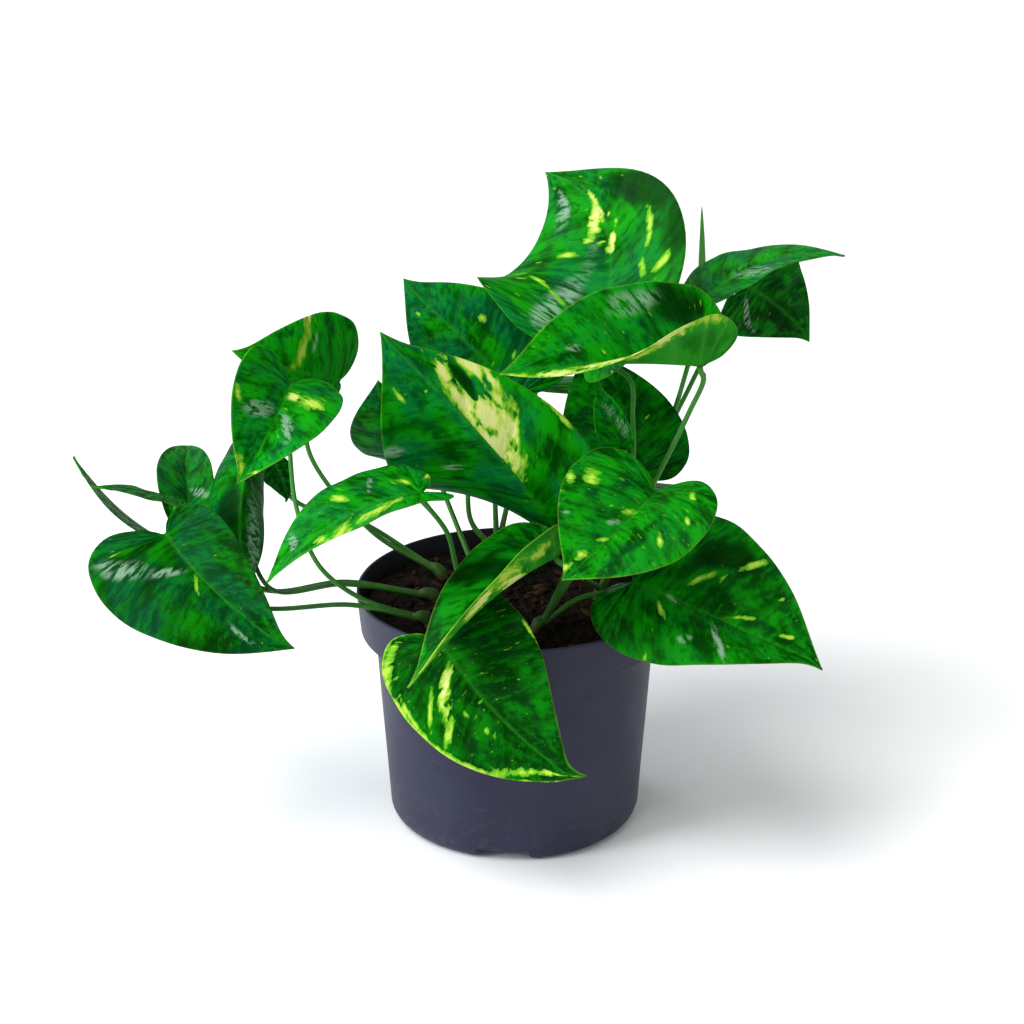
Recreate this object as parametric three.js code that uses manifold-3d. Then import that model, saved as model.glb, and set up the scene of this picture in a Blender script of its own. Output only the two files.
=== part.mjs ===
// A potted golden pothos: a plastic nursery pot, its soil, and leafy stems with heart-shaped blades.
// Units are millimetres and +Z is up. The origin is on the pot's axis, in the plane it stands on.
// The front of the plant looks along -Y.
import * as THREE from "three";
import { mergeVertices } from "three/addons/utils/BufferGeometryUtils.js";
import Module from "manifold-3d";

const wasm = await Module();
wasm.setup();

// Pot
const POT_HEIGHT = 93;
const RIM_RADIUS = 60;
const COLLAR_HEIGHT = 16;
const COLLAR_FOOT_RADIUS = 58.6;
const BODY_TOP_RADIUS = 53.2;
const BODY_FOOT_RADIUS = 48.4;
const POT_WALL = 1.4;
const FOOT_ROUNDING = 5.5;
const POT_SEGMENTS = 36;
const NOTCH_COUNT = 4;
const NOTCH_TURN = -0.1;
const NOTCH_FOOT_WIDTH = 23;
const NOTCH_TOP_WIDTH = 19;
const NOTCH_HEIGHT = 5;
const NOTCH_INNER_RADIUS = 36;
const NOTCH_OUTER_RADIUS = 60;
const DRAIN_RADIUS = 3.2;
const DRAIN_SIDES = 10;
const DRAIN_INSET = 1.2;
const DRAIN_REACH = 3;
const SHOULDER_DROP = 1.5;
const LIP_ROUNDING = 0.6;
const FOOT_STEPS = 3;

// Soil
const CLEARANCE = 0.35;
const SOIL_EDGE = 85.5;
const SOIL_CROWN = 88.5;
const SOIL_RELIEF = 0.9;
const SOIL_RINGS = [0.86, 0.68, 0.5, 0.32, 0.15];
const SOIL_FLAT_SHARE = 0.9;
const HOLE_FLOOR = 62;

// Plant
const BLADE_THICKNESS = 0.9;
const PETIOLE_RADIUS = 1.15;
const PETIOLE_SIDES = 6;
const PETIOLE_STEPS = 6;
const KNEE_LENGTH = 4;
const KNEE_SETBACK = 0.6;
const STALK_TIP_LENGTH = 1.2;
const STALK_SEAT = 0.7;
const STEM_RADIUS = 2.3;
const STEM_SIDES = 8;
const STEM_STEPS = 4;

const POT_GREY = 0x48485c;
const SOIL_BROWN = 0x1d130d;
const GREEN_DEEP = 0x0a5a14;
const GREEN_MIDDLE = 0x127a1c;
const GREEN_FRESH = 0x2a9427;
const GREEN_STALK = 0x4f9a35;
const POT_ROUGHNESS_SHARE = 0.45;
const SOIL_ROUGHNESS_SHARE = 0.95;
const STALK_ROUGHNESS_SHARE = 0.5;
const BLADE_ROUGHNESS_SHARE = 0.35;

// Half of a blade's outline, from the notch where the stalk joins, round the lobe, to the tip.
// side is a share of the half width, along a share of the length, and rib is where the side
// vein that ends there leaves the midrib.
const OUTLINE = [
  { side: 0.2, along: -0.085, rib: 0 },
  { side: 0.56, along: -0.125, rib: 0 },
  { side: 0.87, along: -0.035, rib: 0 },
  { side: 1.0, along: 0.13, rib: 0.02 },
  { side: 0.97, along: 0.33, rib: 0.16 },
  { side: 0.79, along: 0.54, rib: 0.37 },
  { side: 0.52, along: 0.74, rib: 0.6 },
  { side: 0.22, along: 0.9, rib: 0.81 },
];
const COLUMNS = [0.42, 0.78, 1];
const RIPPLE_PITCH = 9;
const RIPPLE_SHIFT = 2.4;
const HOOK_START = 0.8;

// Each stem: where it leaves the soil, and where it ends.
const STEMS = [
  { name: "stem_left_front", foot: [-32, -24], top: [-38, -26, 92] },
  { name: "stem_left", foot: [-30, -3], top: [-37, -4, 92] },
  { name: "stem_left_back", foot: [-28, 18], top: [-33, 20, 94] },
  { name: "stem_back", foot: [-7, 34], top: [-7, 36, 96] },
  { name: "stem_middle", foot: [-12, 4], top: [-14, 4, 95] },
  { name: "stem_right_back", foot: [28, 26], top: [30, 27, 95] },
  { name: "stem_right", foot: [32, -2], top: [34, -2, 95] },
  { name: "stem_front", foot: [-8, -26], top: [-9, -28, 94] },
  { name: "stem_right_front", foot: [8, -30], top: [13, -30, 93] },
];

// Each blade: its stalk's stem, the places of the notch and the tip, the way its upper face looks,
// the half widths left and right of the midrib, and its bends in radians. bow turns the midrib
// from end to end, and sweep does so within the blade. fold, twist and curl are for its left and
// right half: fold lifts it at the midrib, twist lifts it further at the notch and less at the tip,
// and curl bends it on towards the margin. wave is the height of the ripples at the margin, and
// hook lifts the tip. via lists where the stalk passes on its way from the stem.
const LEAVES = [
  {
    name: "leaf_top", stem: "stem_right", base: [27, 21, 182], tip: [13, 95, 229],
    face: [-0.2, -0.45, 0.6], left: 50, right: 36, bow: 0.5, sweep: 1.55,
    fold: [-0.1, 0.25], twist: [0.6, 0.8], curl: [0, 0.15], wave: 1.5, hook: 0,
    via: [[44, 4, 138], [44, 8, 158], [43, 12, 171]],
  },
  {
    name: "leaf_folded", stem: "stem_right", base: [68, -10, 184], tip: [-3, -42, 191],
    face: [0.05, -0.1, 1], left: 24, right: 32, bow: 0.25, sweep: 0,
    fold: [0.55, 0.85], twist: [1.5, 0.2], curl: [0, -0.2], wave: 1, hook: 0,
    via: [[50, -4, 132], [64, -5, 164]],
  },
  {
    name: "leaf_cream_patch", stem: "stem_right", base: [15, -14, 122], tip: [-46, -30, 200],
    face: [-0.2, -0.85, 0.5], left: 52, right: 29, bow: 0.35, sweep: 0.2,
    fold: [-0.6, 0], twist: [-1.2, 1.5], curl: [-0.1, -0.2], wave: 1, hook: 0,
    via: [[23, -17, 107]],
  },
  {
    name: "leaf_upper_left", stem: "stem_back", base: [2, 32, 159], tip: [-42, 48, 198],
    face: [-0.3, -0.8, 0.55], left: 27, right: 28, bow: 0.4, sweep: 0,
    fold: [0.1, 0.1], twist: [0, 0], curl: [-0.2, -0.2], wave: 1, hook: 0,
    via: [[-7, 36, 130], [-2, 36, 145]],
  },
  {
    name: "leaf_behind_patch", stem: "stem_middle", base: [-34, 22, 139], tip: [-51, 4, 172],
    face: [-0.3, -0.8, 0.5], left: 26, right: 22, bow: 0.5, sweep: -0.2,
    fold: [-0.1, 0], twist: [0, 0], curl: [-0.6, -0.2], wave: 1, hook: 0,
    via: [[-27, 26, 120]],
  },
  {
    name: "leaf_inner_right", stem: "stem_right_back", base: [45, 16, 132], tip: [27, 38, 174],
    face: [0.1, -0.85, 0.45], left: 24, right: 25, bow: 0.4, sweep: 0,
    fold: [0.1, 0.1], twist: [0, 0], curl: [-0.2, -0.2], wave: 1, hook: 0,
    via: [],
  },
  {
    name: "leaf_left_high", stem: "stem_left_back", base: [-66, 20, 168], tip: [-101, -10, 188],
    face: [-0.1, -0.8, 0.6], left: 12, right: 25, bow: 0.65, sweep: -0.35,
    fold: [-0.8, 0.65], twist: [0, 0], curl: [-0.2, -0.6], wave: 1, hook: 0,
    via: [[-56, 24, 106], [-80, 32, 138]],
  },
  {
    name: "leaf_left_middle", stem: "stem_left_front", base: [-81, -14, 178], tip: [-97, -42, 151],
    face: [-0.1, -0.7, 0.35], left: 21, right: 22, bow: 0.75, sweep: -0.35,
    fold: [0.5, 0.7], twist: [-0.55, 0.05], curl: [-0.5, 0], wave: 1, hook: 0,
    via: [[-57, -22, 97], [-73, -14, 107], [-82, 0, 125], [-84, 4, 145]],
  },
  {
    name: "leaf_left_hanging", stem: "stem_left", base: [-99, 4, 143], tip: [-100, -10, 96],
    face: [0.44, -0.55, 0.39], left: 21, right: 22, bow: 0, sweep: 0.6,
    fold: [-0.15, -0.95], twist: [-0.4, -0.4], curl: [-0.9, -0.9], wave: 1, hook: 0,
    via: [[-64, -8, 96.8], [-92, -6, 94], [-103, 13, 116]],
  },
  {
    name: "leaf_left_shaded", stem: "stem_left_back", base: [-93, 33, 130], tip: [-88, 30, 116],
    face: [0.36, -0.32, 0.73], left: 6, right: 9, bow: 0.4, sweep: -0.25,
    fold: [0.2, 0.15], twist: [0, 0], curl: [-0.25, -0.2], wave: 0.5, hook: 0,
    via: [[-60, 30, 107], [-85, 40, 111]],
  },
  {
    name: "leaf_left_small", stem: "stem_left", base: [-125, 20, 112], tip: [-131, 70, 124],
    face: [0.54, -0.85, 1.25], left: 14, right: 12, bow: 0.85, sweep: -0.4,
    fold: [0.35, 0.65], twist: [0.65, 0.25], curl: [-0.35, 0.1], wave: 0.5, hook: 0,
    via: [[-64, -4, 95.4], [-93, -3, 92], [-114, 14, 98]],
  },
  {
    name: "leaf_left_narrow", stem: "stem_left", base: [-126, 3, 125], tip: [-155, -11, 137],
    face: [0.1, 0.1, 1], left: 9, right: 9, bow: 0.3, sweep: 0,
    fold: [0.1, 0.1], twist: [0, 0], curl: [-0.2, -0.2], wave: 0.5, hook: 0,
    via: [[-64, -6, 96], [-93, -5, 93], [-116, -4, 107]],
  },
  {
    name: "leaf_left_edge", stem: "stem_left", base: [-143, 14, 110], tip: [-168, 22, 136],
    face: [0.75, 0.24, 0.61], left: 13, right: 13, bow: -0.5, sweep: 0,
    fold: [0.1, 0.1], twist: [0, 0], curl: [-0.2, -0.2], wave: 0, hook: 0,
    via: [[-64, -2, 95.2], [-93, -1, 91], [-124, 16, 96]],
  },
  {
    name: "leaf_far_left", stem: "stem_left_front", base: [-129, -16, 120], tip: [-82, -51, 90],
    face: [0.1, -0.86, 0.6], left: 20, right: 34, bow: 0.4, sweep: 0.4,
    fold: [0.27, 0.34], twist: [-0.28, 0.07], curl: [-0.32, -0.25], wave: 1, hook: 0,
    via: [[-60, -28, 97], [-95, -26, 95], [-126, -16, 102]],
  },
  {
    name: "leaf_arched", stem: "stem_front", base: [-33, -48, 149], tip: [-85, -70, 125],
    face: [-0.1, -0.15, 1], left: 18, right: 25, bow: 0.9, sweep: 0,
    fold: [0.35, 0.1], twist: [0, 0], curl: [-0.2, -0.2], wave: 1, hook: 0,
    via: [[-20, -36, 112], [-24, -40, 130]],
  },
  {
    name: "leaf_front", stem: "stem_front", base: [-27, -63, 99], tip: [21, -85, 55],
    face: [-0.14, -0.8, 0.08], left: 30, right: 29, bow: 0.2, sweep: 0.35,
    fold: [0.25, 0.15], twist: [-0.55, -0.15], curl: [-0.5, -0.3], wave: 1.2, hook: 3,
    via: [[-16, -46, 104]],
  },
  {
    name: "leaf_front_narrow", stem: "stem_right_front", base: [15, -43, 123], tip: [-35, -93, 96],
    face: [-0.04, -0.21, 0.91], left: 18, right: 26, bow: 0.65, sweep: 0.05,
    fold: [1.15, -0.25], twist: [0.3, 0.6], curl: [-0.05, 0.05], wave: 1, hook: 0,
    via: [[17, -35, 109]],
  },
  {
    name: "leaf_spotted", stem: "stem_right_front", base: [50, -41, 146], tip: [18, -74, 127],
    face: [-0.17, -0.55, 0.76], left: 30, right: 30, bow: 0.25, sweep: -0.15,
    fold: [0.35, 0.4], twist: [0.65, 0.2], curl: [-0.65, -0.6], wave: 1, hook: 0,
    via: [[20, -29, 107], [35, -30, 126]],
  },
  {
    name: "leaf_young", stem: "stem_right", base: [39, -8, 152], tip: [31, 4, 171],
    face: [-0.2, -0.8, 0.4], left: 8, right: 8, bow: 0.3, sweep: 0,
    fold: [0.5, 0.5], twist: [0, 0], curl: [0.3, 0.3], wave: 0.5, hook: 0,
    via: [[40, -6, 130]],
  },
  {
    name: "leaf_right", stem: "stem_right_front", base: [43, -39, 111], tip: [108, -63, 89],
    face: [0.14, -0.6, 0.63], left: 41, right: 27, bow: 0.35, sweep: 0.15,
    fold: [0.1, 0.5], twist: [-0.35, -0.7], curl: [-0.25, -0.7], wave: 1.2, hook: 0,
    via: [[24, -33, 102]],
  },
  {
    name: "leaf_right_high", stem: "stem_right_back", base: [71, 36, 195], tip: [123, 42, 211],
    face: [0.13, 0, 1.06], left: 25, right: 17, bow: 0.85, sweep: -0.05,
    fold: [0.1, 0.1], twist: [0.15, 0.1], curl: [-0.2, -0.1], wave: 1, hook: 0,
    via: [[58, 34, 142], [68, 32, 178]],
  },
  {
    name: "leaf_right_shaded", stem: "stem_right_back", base: [91, 61, 193], tip: [117, 74, 168],
    face: [-0.05, -1, 0.6], left: 20, right: 21, bow: 0.2, sweep: -0.25,
    fold: [0.05, -0.5], twist: [0.45, 0.5], curl: [-0.1, -0.35], wave: 1, hook: 0,
    via: [[60, 46, 140], [75, 62, 165]],
  },
  {
    name: "leaf_back_left", stem: "stem_back", base: [-26, 56, 134], tip: [-48, 100, 112],
    face: [-0.2, 0.5, 0.8], left: 26, right: 26, bow: 0.6, sweep: 0,
    fold: [0.1, 0.1], twist: [0, 0], curl: [-0.2, -0.2], wave: 1, hook: 0,
    via: [[-17, 38, 104], [-19, 42, 124]],
  },
  {
    name: "leaf_back_middle", stem: "stem_back", base: [8, 58, 152], tip: [4, 112, 134],
    face: [0, 0.4, 0.9], left: 28, right: 28, bow: 0.6, sweep: 0,
    fold: [0.1, 0.1], twist: [0, 0], curl: [-0.2, -0.2], wave: 1, hook: 0,
    via: [[2, 42, 132]],
  },
  {
    name: "leaf_back_right", stem: "stem_right_back", base: [36, 56, 112], tip: [62, 94, 92],
    face: [0.2, 0.5, 0.8], left: 24, right: 24, bow: 0.6, sweep: 0,
    fold: [0.1, 0.1], twist: [0, 0], curl: [-0.2, -0.2], wave: 1, hook: 0,
    via: [],
  },
];

// The newest leaf, still rolled into a spear, rises from the stalk of its elder.
const SPEAR = { stem: "stem_right_back", foot: [74, 61, 164], tip: [73, 76, 221] };
const SPEAR_PROFILE = [[0, 0], [0.9, 0], [1.7, 0.35], [1.4, 0.7], [0.4, 0.97], [0, 1]];
const SPEAR_SIDES = 6;

const vector = (place) => new THREE.Vector3(...place);

// Solids

function solidOf(geometry) {
  const bare = geometry.clone();
  bare.deleteAttribute("normal");
  bare.deleteAttribute("uv");
  const merged = mergeVertices(bare, 1e-4);
  return new wasm.Manifold(
    new wasm.Mesh({
      numProp: 3,
      vertProperties: new Float32Array(merged.attributes.position.array),
      triVerts: new Uint32Array(merged.index.array),
    }),
  );
}

function geometryOf(solid) {
  const mesh = solid.getMesh();
  const geometry = new THREE.BufferGeometry();
  geometry.setAttribute("position", new THREE.BufferAttribute(mesh.vertProperties, 3));
  geometry.setIndex(new THREE.BufferAttribute(mesh.triVerts, 1));
  geometry.computeVertexNormals();
  return geometry;
}

function named(name, geometry, colour, roughness) {
  const material = new THREE.MeshStandardMaterial({ color: colour, roughness, metalness: 0 });
  const mesh = new THREE.Mesh(geometry, material);
  mesh.name = name;
  return mesh;
}

// A turned body about Z from a profile of [radius, height] pairs.
function turned(profile, segments) {
  const points = profile.map(([radius, height]) => new THREE.Vector2(radius, height));
  return new THREE.LatheGeometry(points, segments).rotateX(Math.PI / 2);
}

function uprightCylinder(radius, low, high, sides) {
  return new THREE.CylinderGeometry(radius, radius, high - low, sides)
    .rotateX(Math.PI / 2)
    .translate(0, 0, (low + high) / 2);
}

// Pot

function notchPrism(footWidth, topWidth, low, high, inner, outer) {
  const shape = new THREE.Shape([
    new THREE.Vector2(-footWidth / 2, low),
    new THREE.Vector2(footWidth / 2, low),
    new THREE.Vector2(topWidth / 2, high),
    new THREE.Vector2(-topWidth / 2, high),
  ]);
  return new THREE.ExtrudeGeometry(shape, { depth: outer - inner, bevelEnabled: false, steps: 1 })
    .rotateX(Math.PI / 2)
    .translate(0, -inner, 0);
}

function aroundPot(make) {
  return Array.from({ length: NOTCH_COUNT }, (_, index) =>
    solidOf(make().rotateZ(NOTCH_TURN + (index * 2 * Math.PI) / NOTCH_COUNT)),
  );
}

function floorBlocks(spare) {
  const outer = BODY_FOOT_RADIUS - POT_WALL / 2;
  const width = NOTCH_FOOT_WIDTH + 2 * POT_WALL + 2 * spare;
  const inner = NOTCH_INNER_RADIUS - POT_WALL - spare;
  const high = NOTCH_HEIGHT + POT_WALL + spare;
  return aroundPot(() => notchPrism(width, width, 0, high, inner, outer));
}

function footArc(radius, rounding, floor) {
  return Array.from({ length: FOOT_STEPS + 1 }, (_, step) => {
    const angle = (step / FOOT_STEPS) * (Math.PI / 2);
    return [radius - rounding + rounding * Math.sin(angle), floor + rounding * (1 - Math.cos(angle))];
  });
}

function potOutside() {
  const collarFoot = POT_HEIGHT - COLLAR_HEIGHT;
  return [
    [0, 0],
    ...footArc(BODY_FOOT_RADIUS, FOOT_ROUNDING, 0),
    [BODY_TOP_RADIUS, collarFoot - SHOULDER_DROP],
    [COLLAR_FOOT_RADIUS - LIP_ROUNDING, collarFoot],
    [COLLAR_FOOT_RADIUS, collarFoot + LIP_ROUNDING],
    [RIM_RADIUS, POT_HEIGHT - LIP_ROUNDING],
    [RIM_RADIUS - LIP_ROUNDING, POT_HEIGHT],
  ];
}

function potInside() {
  const collarFoot = POT_HEIGHT - COLLAR_HEIGHT;
  return [
    [RIM_RADIUS - POT_WALL, POT_HEIGHT],
    [COLLAR_FOOT_RADIUS - POT_WALL, collarFoot + POT_WALL],
    [BODY_TOP_RADIUS - POT_WALL, collarFoot - SHOULDER_DROP],
    ...footArc(BODY_FOOT_RADIUS - POT_WALL, FOOT_ROUNDING - POT_WALL, POT_WALL).reverse(),
    [0, POT_WALL],
  ];
}

function potGeometry() {
  const envelope = solidOf(turned([...potOutside(), [0, POT_HEIGHT]], POT_SEGMENTS));
  let pot = solidOf(turned([...potOutside(), ...potInside()], POT_SEGMENTS));
  for (const block of floorBlocks(0)) {
    pot = pot.add(block.intersect(envelope));
  }
  const notches = aroundPot(() =>
    notchPrism(
      NOTCH_FOOT_WIDTH, NOTCH_TOP_WIDTH, 0, NOTCH_HEIGHT, NOTCH_INNER_RADIUS, NOTCH_OUTER_RADIUS,
    ),
  );
  const drains = aroundPot(() =>
    uprightCylinder(DRAIN_RADIUS, NOTCH_HEIGHT - 1, NOTCH_HEIGHT + DRAIN_REACH, DRAIN_SIDES)
      .translate(0, -(NOTCH_INNER_RADIUS + DRAIN_RADIUS + DRAIN_INSET), 0),
  );
  for (const cut of [...notches, ...drains]) {
    pot = pot.subtract(cut);
  }
  return geometryOf(pot);
}

// Soil

function soilRelief(x, y) {
  const coarse = Math.sin(x * 0.31 + 1.3) * Math.cos(y * 0.27 - 0.4);
  const fine = Math.sin(x * 0.83 - y * 0.55) * Math.cos(x * 0.47 + y * 0.91);
  return SOIL_RELIEF * (coarse + 0.7 * fine);
}

function soilBlank() {
  const collarFoot = POT_HEIGHT - COLLAR_HEIGHT;
  const gap = POT_WALL + CLEARANCE;
  const foot = footArc(BODY_FOOT_RADIUS - gap, FOOT_ROUNDING - gap, gap);
  const edge = COLLAR_FOOT_RADIUS - gap;
  const top = SOIL_RINGS.map((share) => {
    const height = SOIL_EDGE + (SOIL_CROWN - SOIL_EDGE) * (1 - share * share);
    return [edge * share, height];
  });
  const profile = [
    [0, gap],
    ...foot,
    [BODY_TOP_RADIUS - gap, collarFoot - SHOULDER_DROP],
    [edge - CLEARANCE, collarFoot + gap + CLEARANCE],
    [edge, SOIL_EDGE],
    ...top,
    [0, SOIL_CROWN],
  ];
  const geometry = turned(profile, POT_SEGMENTS);
  const places = geometry.attributes.position;
  for (let index = 0; index < places.count; index += 1) {
    const radius = Math.hypot(places.getX(index), places.getY(index));
    if (places.getZ(index) > SOIL_EDGE && radius < SOIL_FLAT_SHARE * edge) {
      const relief = soilRelief(places.getX(index), places.getY(index));
      places.setZ(index, places.getZ(index) + relief);
    }
  }
  return geometry;
}

function soilGeometry() {
  let soil = solidOf(soilBlank());
  for (const block of floorBlocks(CLEARANCE)) {
    soil = soil.subtract(block);
  }
  for (const stem of STEMS) {
    const hole = stemTube(stem, STEM_RADIUS + CLEARANCE, HOLE_FLOOR - CLEARANCE);
    soil = soil.subtract(solidOf(hole));
  }
  return geometryOf(soil);
}

// Stalks

function tube(places, radius, sides, steps) {
  const section = new THREE.Shape(
    Array.from({ length: sides }, (_, index) => {
      const angle = (index * 2 * Math.PI) / sides;
      return new THREE.Vector2(radius * Math.cos(angle), radius * Math.sin(angle));
    }),
  );
  const path = new THREE.CatmullRomCurve3(places, false, "centripetal");
  return new THREE.ExtrudeGeometry(section, { steps, bevelEnabled: false, extrudePath: path });
}

function stemTube(stem, radius, floor) {
  const [x, y] = stem.foot;
  const places = [new THREE.Vector3(x, y, floor), new THREE.Vector3(x, y, SOIL_CROWN + 1)];
  return tube([...places, vector(stem.top)], radius, STEM_SIDES, STEM_STEPS);
}

// How far the two halves hang down from the midrib at the notch, on average.
function droopAtNotch(leaf) {
  const lifts = [0, 1].map((which) => leaf.fold[which] + leaf.twist[which] / 2);
  return Math.max(0, -(lifts[0] + lifts[1]) / 2);
}

// The last stretch of a stalk bends up to meet the blade from below, just ahead of the notch. Under
// a blade whose halves hang down it ends that much lower.
function stalk(stem, leaf) {
  const axes = bladeAxes(leaf);
  const notch = bladePlace(leaf, axes, 0, 0);
  const forward = bladePlace(leaf, axes, 0.03, 0).sub(notch).normalize();
  const right = bladePlace(leaf, axes, 0.03, 2).sub(bladePlace(leaf, axes, 0.03, -2)).normalize();
  const normal = new THREE.Vector3().crossVectors(right, forward);
  const droop = droopAtNotch(leaf);
  const drop = (BLADE_THICKNESS / 2 + CLEARANCE) / Math.cos(droop) + PETIOLE_RADIUS * Math.tan(droop);
  const end = notch
    .addScaledVector(normal, -drop)
    .addScaledVector(forward, PETIOLE_RADIUS * STALK_SEAT);
  const nearEnd = end.clone().addScaledVector(normal, -STALK_TIP_LENGTH);
  const knee = end.clone()
    .addScaledVector(normal, -KNEE_LENGTH)
    .addScaledVector(forward, -KNEE_LENGTH * KNEE_SETBACK);
  const start = vector(stem.top).lerp(new THREE.Vector3(...stem.foot, SOIL_CROWN), 0.5);
  const route = [start, ...leaf.via.map(vector), knee, nearEnd, end];
  return tube(route, PETIOLE_RADIUS, PETIOLE_SIDES, PETIOLE_STEPS + 2 * leaf.via.length);
}

function spearGeometry() {
  const foot = vector(SPEAR.foot);
  const axis = vector(SPEAR.tip).sub(foot);
  const profile = SPEAR_PROFILE.map(([radius, share]) => [radius, share * axis.length()]);
  const upright = new THREE.Vector3(0, 0, 1);
  const turn = new THREE.Quaternion().setFromUnitVectors(upright, axis.clone().normalize());
  return turned(profile, SPEAR_SIDES).applyQuaternion(turn).translate(foot.x, foot.y, foot.z);
}

function stemGeometry(stem) {
  let solid = solidOf(stemTube(stem, STEM_RADIUS, HOLE_FLOOR));
  for (const leaf of LEAVES.filter((entry) => entry.stem === stem.name)) {
    solid = solid.add(solidOf(stalk(stem, leaf)));
  }
  if (stem.name === SPEAR.stem) {
    solid = solid.add(solidOf(spearGeometry()));
  }
  return geometryOf(solid);
}

// Blades

// A blade's axes: ahead runs from the notch to the tip, face out of the upper side.
function bladeAxes(leaf) {
  const base = vector(leaf.base);
  const ahead = vector(leaf.tip).sub(base);
  const length = ahead.length();
  ahead.normalize();
  const face = vector(leaf.face);
  face.addScaledVector(ahead, -face.dot(ahead)).normalize();
  const side = new THREE.Vector3().crossVectors(ahead, face);
  return { base, ahead, face, side, length };
}

// A bend too small to divide by is taken as a slight one.
const bend = (angle) => (Math.abs(angle) < 0.01 ? 0.01 : angle);

// A point on an arc that spans a chord of this length and turns by this angle in all.
function arcPoint(length, angle, share) {
  const radius = length / (2 * Math.sin(angle / 2));
  const turn = angle * (share - 0.5);
  const reach = radius * (Math.sin(turn) + Math.sin(angle / 2));
  const rise = radius * (Math.cos(turn) - Math.cos(angle / 2));
  return { reach, rise, turn };
}

// How far a half reaches out, and how far it lifts, at a distance measured over the blade.
function crossSection(fold, curl, half, distance) {
  const rate = bend(curl) / half;
  const out = (Math.sin(fold + rate * distance) - Math.sin(fold)) / rate;
  const lift = (Math.cos(fold) - Math.cos(fold + rate * distance)) / rate;
  return { out, lift };
}

// Where a point of the blade lies: along is a share of the length from notch to tip, and across is
// its distance from the midrib, positive on the right.
function bladePlace(leaf, axes, along, across) {
  const which = across < 0 ? 0 : 1;
  const half = across < 0 ? leaf.left : leaf.right;
  const fold = leaf.fold[which] + leaf.twist[which] * (0.5 - along);
  const { out, lift } = crossSection(fold, leaf.curl[which], half, Math.abs(across));
  const outward = Math.sign(across) * out;
  const swept = arcPoint(axes.length, bend(leaf.sweep), along);
  const forward = swept.reach + outward * Math.sin(swept.turn);
  const sideways = swept.rise + outward * Math.cos(swept.turn);
  const bowed = arcPoint(axes.length, bend(leaf.bow), forward / axes.length);
  const localUp = axes.face.clone().multiplyScalar(Math.cos(bowed.turn));
  localUp.addScaledVector(axes.ahead, Math.sin(bowed.turn));
  const share = Math.abs(across) / half;
  const ripple = leaf.wave * share * share * Math.sin(RIPPLE_PITCH * along + RIPPLE_SHIFT * which);
  const hooked = leaf.hook * Math.max(0, (along - HOOK_START) / (1 - HOOK_START)) ** 2;
  return axes.base.clone()
    .addScaledVector(axes.ahead, bowed.reach)
    .addScaledVector(axes.face, bowed.rise)
    .addScaledVector(axes.side, sideways)
    .addScaledVector(localUp, lift + ripple + hooked);
}

// The rows of one half, from the notch to the tip, each from the midrib out to the margin.
function halfRows(leaf, axes, sign, addPlace) {
  const half = sign < 0 ? leaf.left : leaf.right;
  return OUTLINE.map((row) =>
    COLUMNS.map((share) => {
      const along = row.rib + (row.along - row.rib) * share;
      return addPlace(bladePlace(leaf, axes, along, sign * half * row.side * share));
    }),
  );
}

function bladeGeometry(leaf) {
  const axes = bladeAxes(leaf);
  const places = [];
  const addPlace = (place) => places.push(place) - 1;
  const notch = addPlace(bladePlace(leaf, axes, 0, 0));
  const rib = OUTLINE.map((row) => (row.rib > 0 ? addPlace(bladePlace(leaf, axes, row.rib, 0)) : notch));
  const tip = addPlace(bladePlace(leaf, axes, 1, 0));

  const faces = [];
  const rims = [];
  for (const sign of [1, -1]) {
    const rows = halfRows(leaf, axes, sign, addPlace).map((row, index) => [rib[index], ...row]);
    const face = (a, b, c) => {
      if (a !== b && b !== c && c !== a) {
        faces.push(sign > 0 ? [a, b, c] : [a, c, b]);
      }
    };
    for (let index = 0; index + 1 < rows.length; index += 1) {
      for (let column = 0; column < COLUMNS.length; column += 1) {
        const [a, b] = [rows[index][column], rows[index][column + 1]];
        const [c, d] = [rows[index + 1][column], rows[index + 1][column + 1]];
        face(a, b, d);
        face(a, d, c);
      }
    }
    const last = rows[rows.length - 1];
    for (let column = 0; column < COLUMNS.length; column += 1) {
      face(last[column], last[column + 1], tip);
    }
    const margin = [...rows[0], ...rows.slice(1).map((row) => row[COLUMNS.length]), tip];
    rims.push(sign > 0 ? margin : margin.reverse());
  }
  return thickened(places, faces, rims);
}

// A closed body from a sheet of triangles: both faces are split alike, with a rim between them.
function thickened(places, faces, rims) {
  const normals = places.map(() => new THREE.Vector3());
  for (const [a, b, c] of faces) {
    const edge = places[b].clone().sub(places[a]);
    const area = edge.cross(places[c].clone().sub(places[a]));
    for (const corner of [a, b, c]) {
      normals[corner].add(area);
    }
  }
  const positions = [];
  for (const shift of [BLADE_THICKNESS / 2, -BLADE_THICKNESS / 2]) {
    places.forEach((place, index) => {
      const normal = normals[index].clone().normalize();
      positions.push(...place.clone().addScaledVector(normal, shift).toArray());
    });
  }
  const under = places.length;
  const indices = [];
  for (const [a, b, c] of faces) {
    indices.push(a, b, c, under + a, under + c, under + b);
  }
  for (const rim of rims) {
    for (let step = 0; step + 1 < rim.length; step += 1) {
      const [a, b] = [rim[step], rim[step + 1]];
      indices.push(a, under + b, b, a, under + a, under + b);
    }
  }
  const geometry = new THREE.BufferGeometry();
  geometry.setAttribute("position", new THREE.Float32BufferAttribute(positions, 3));
  geometry.setIndex(indices);
  geometry.computeVertexNormals();
  return geometry;
}

// Assembly

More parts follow.
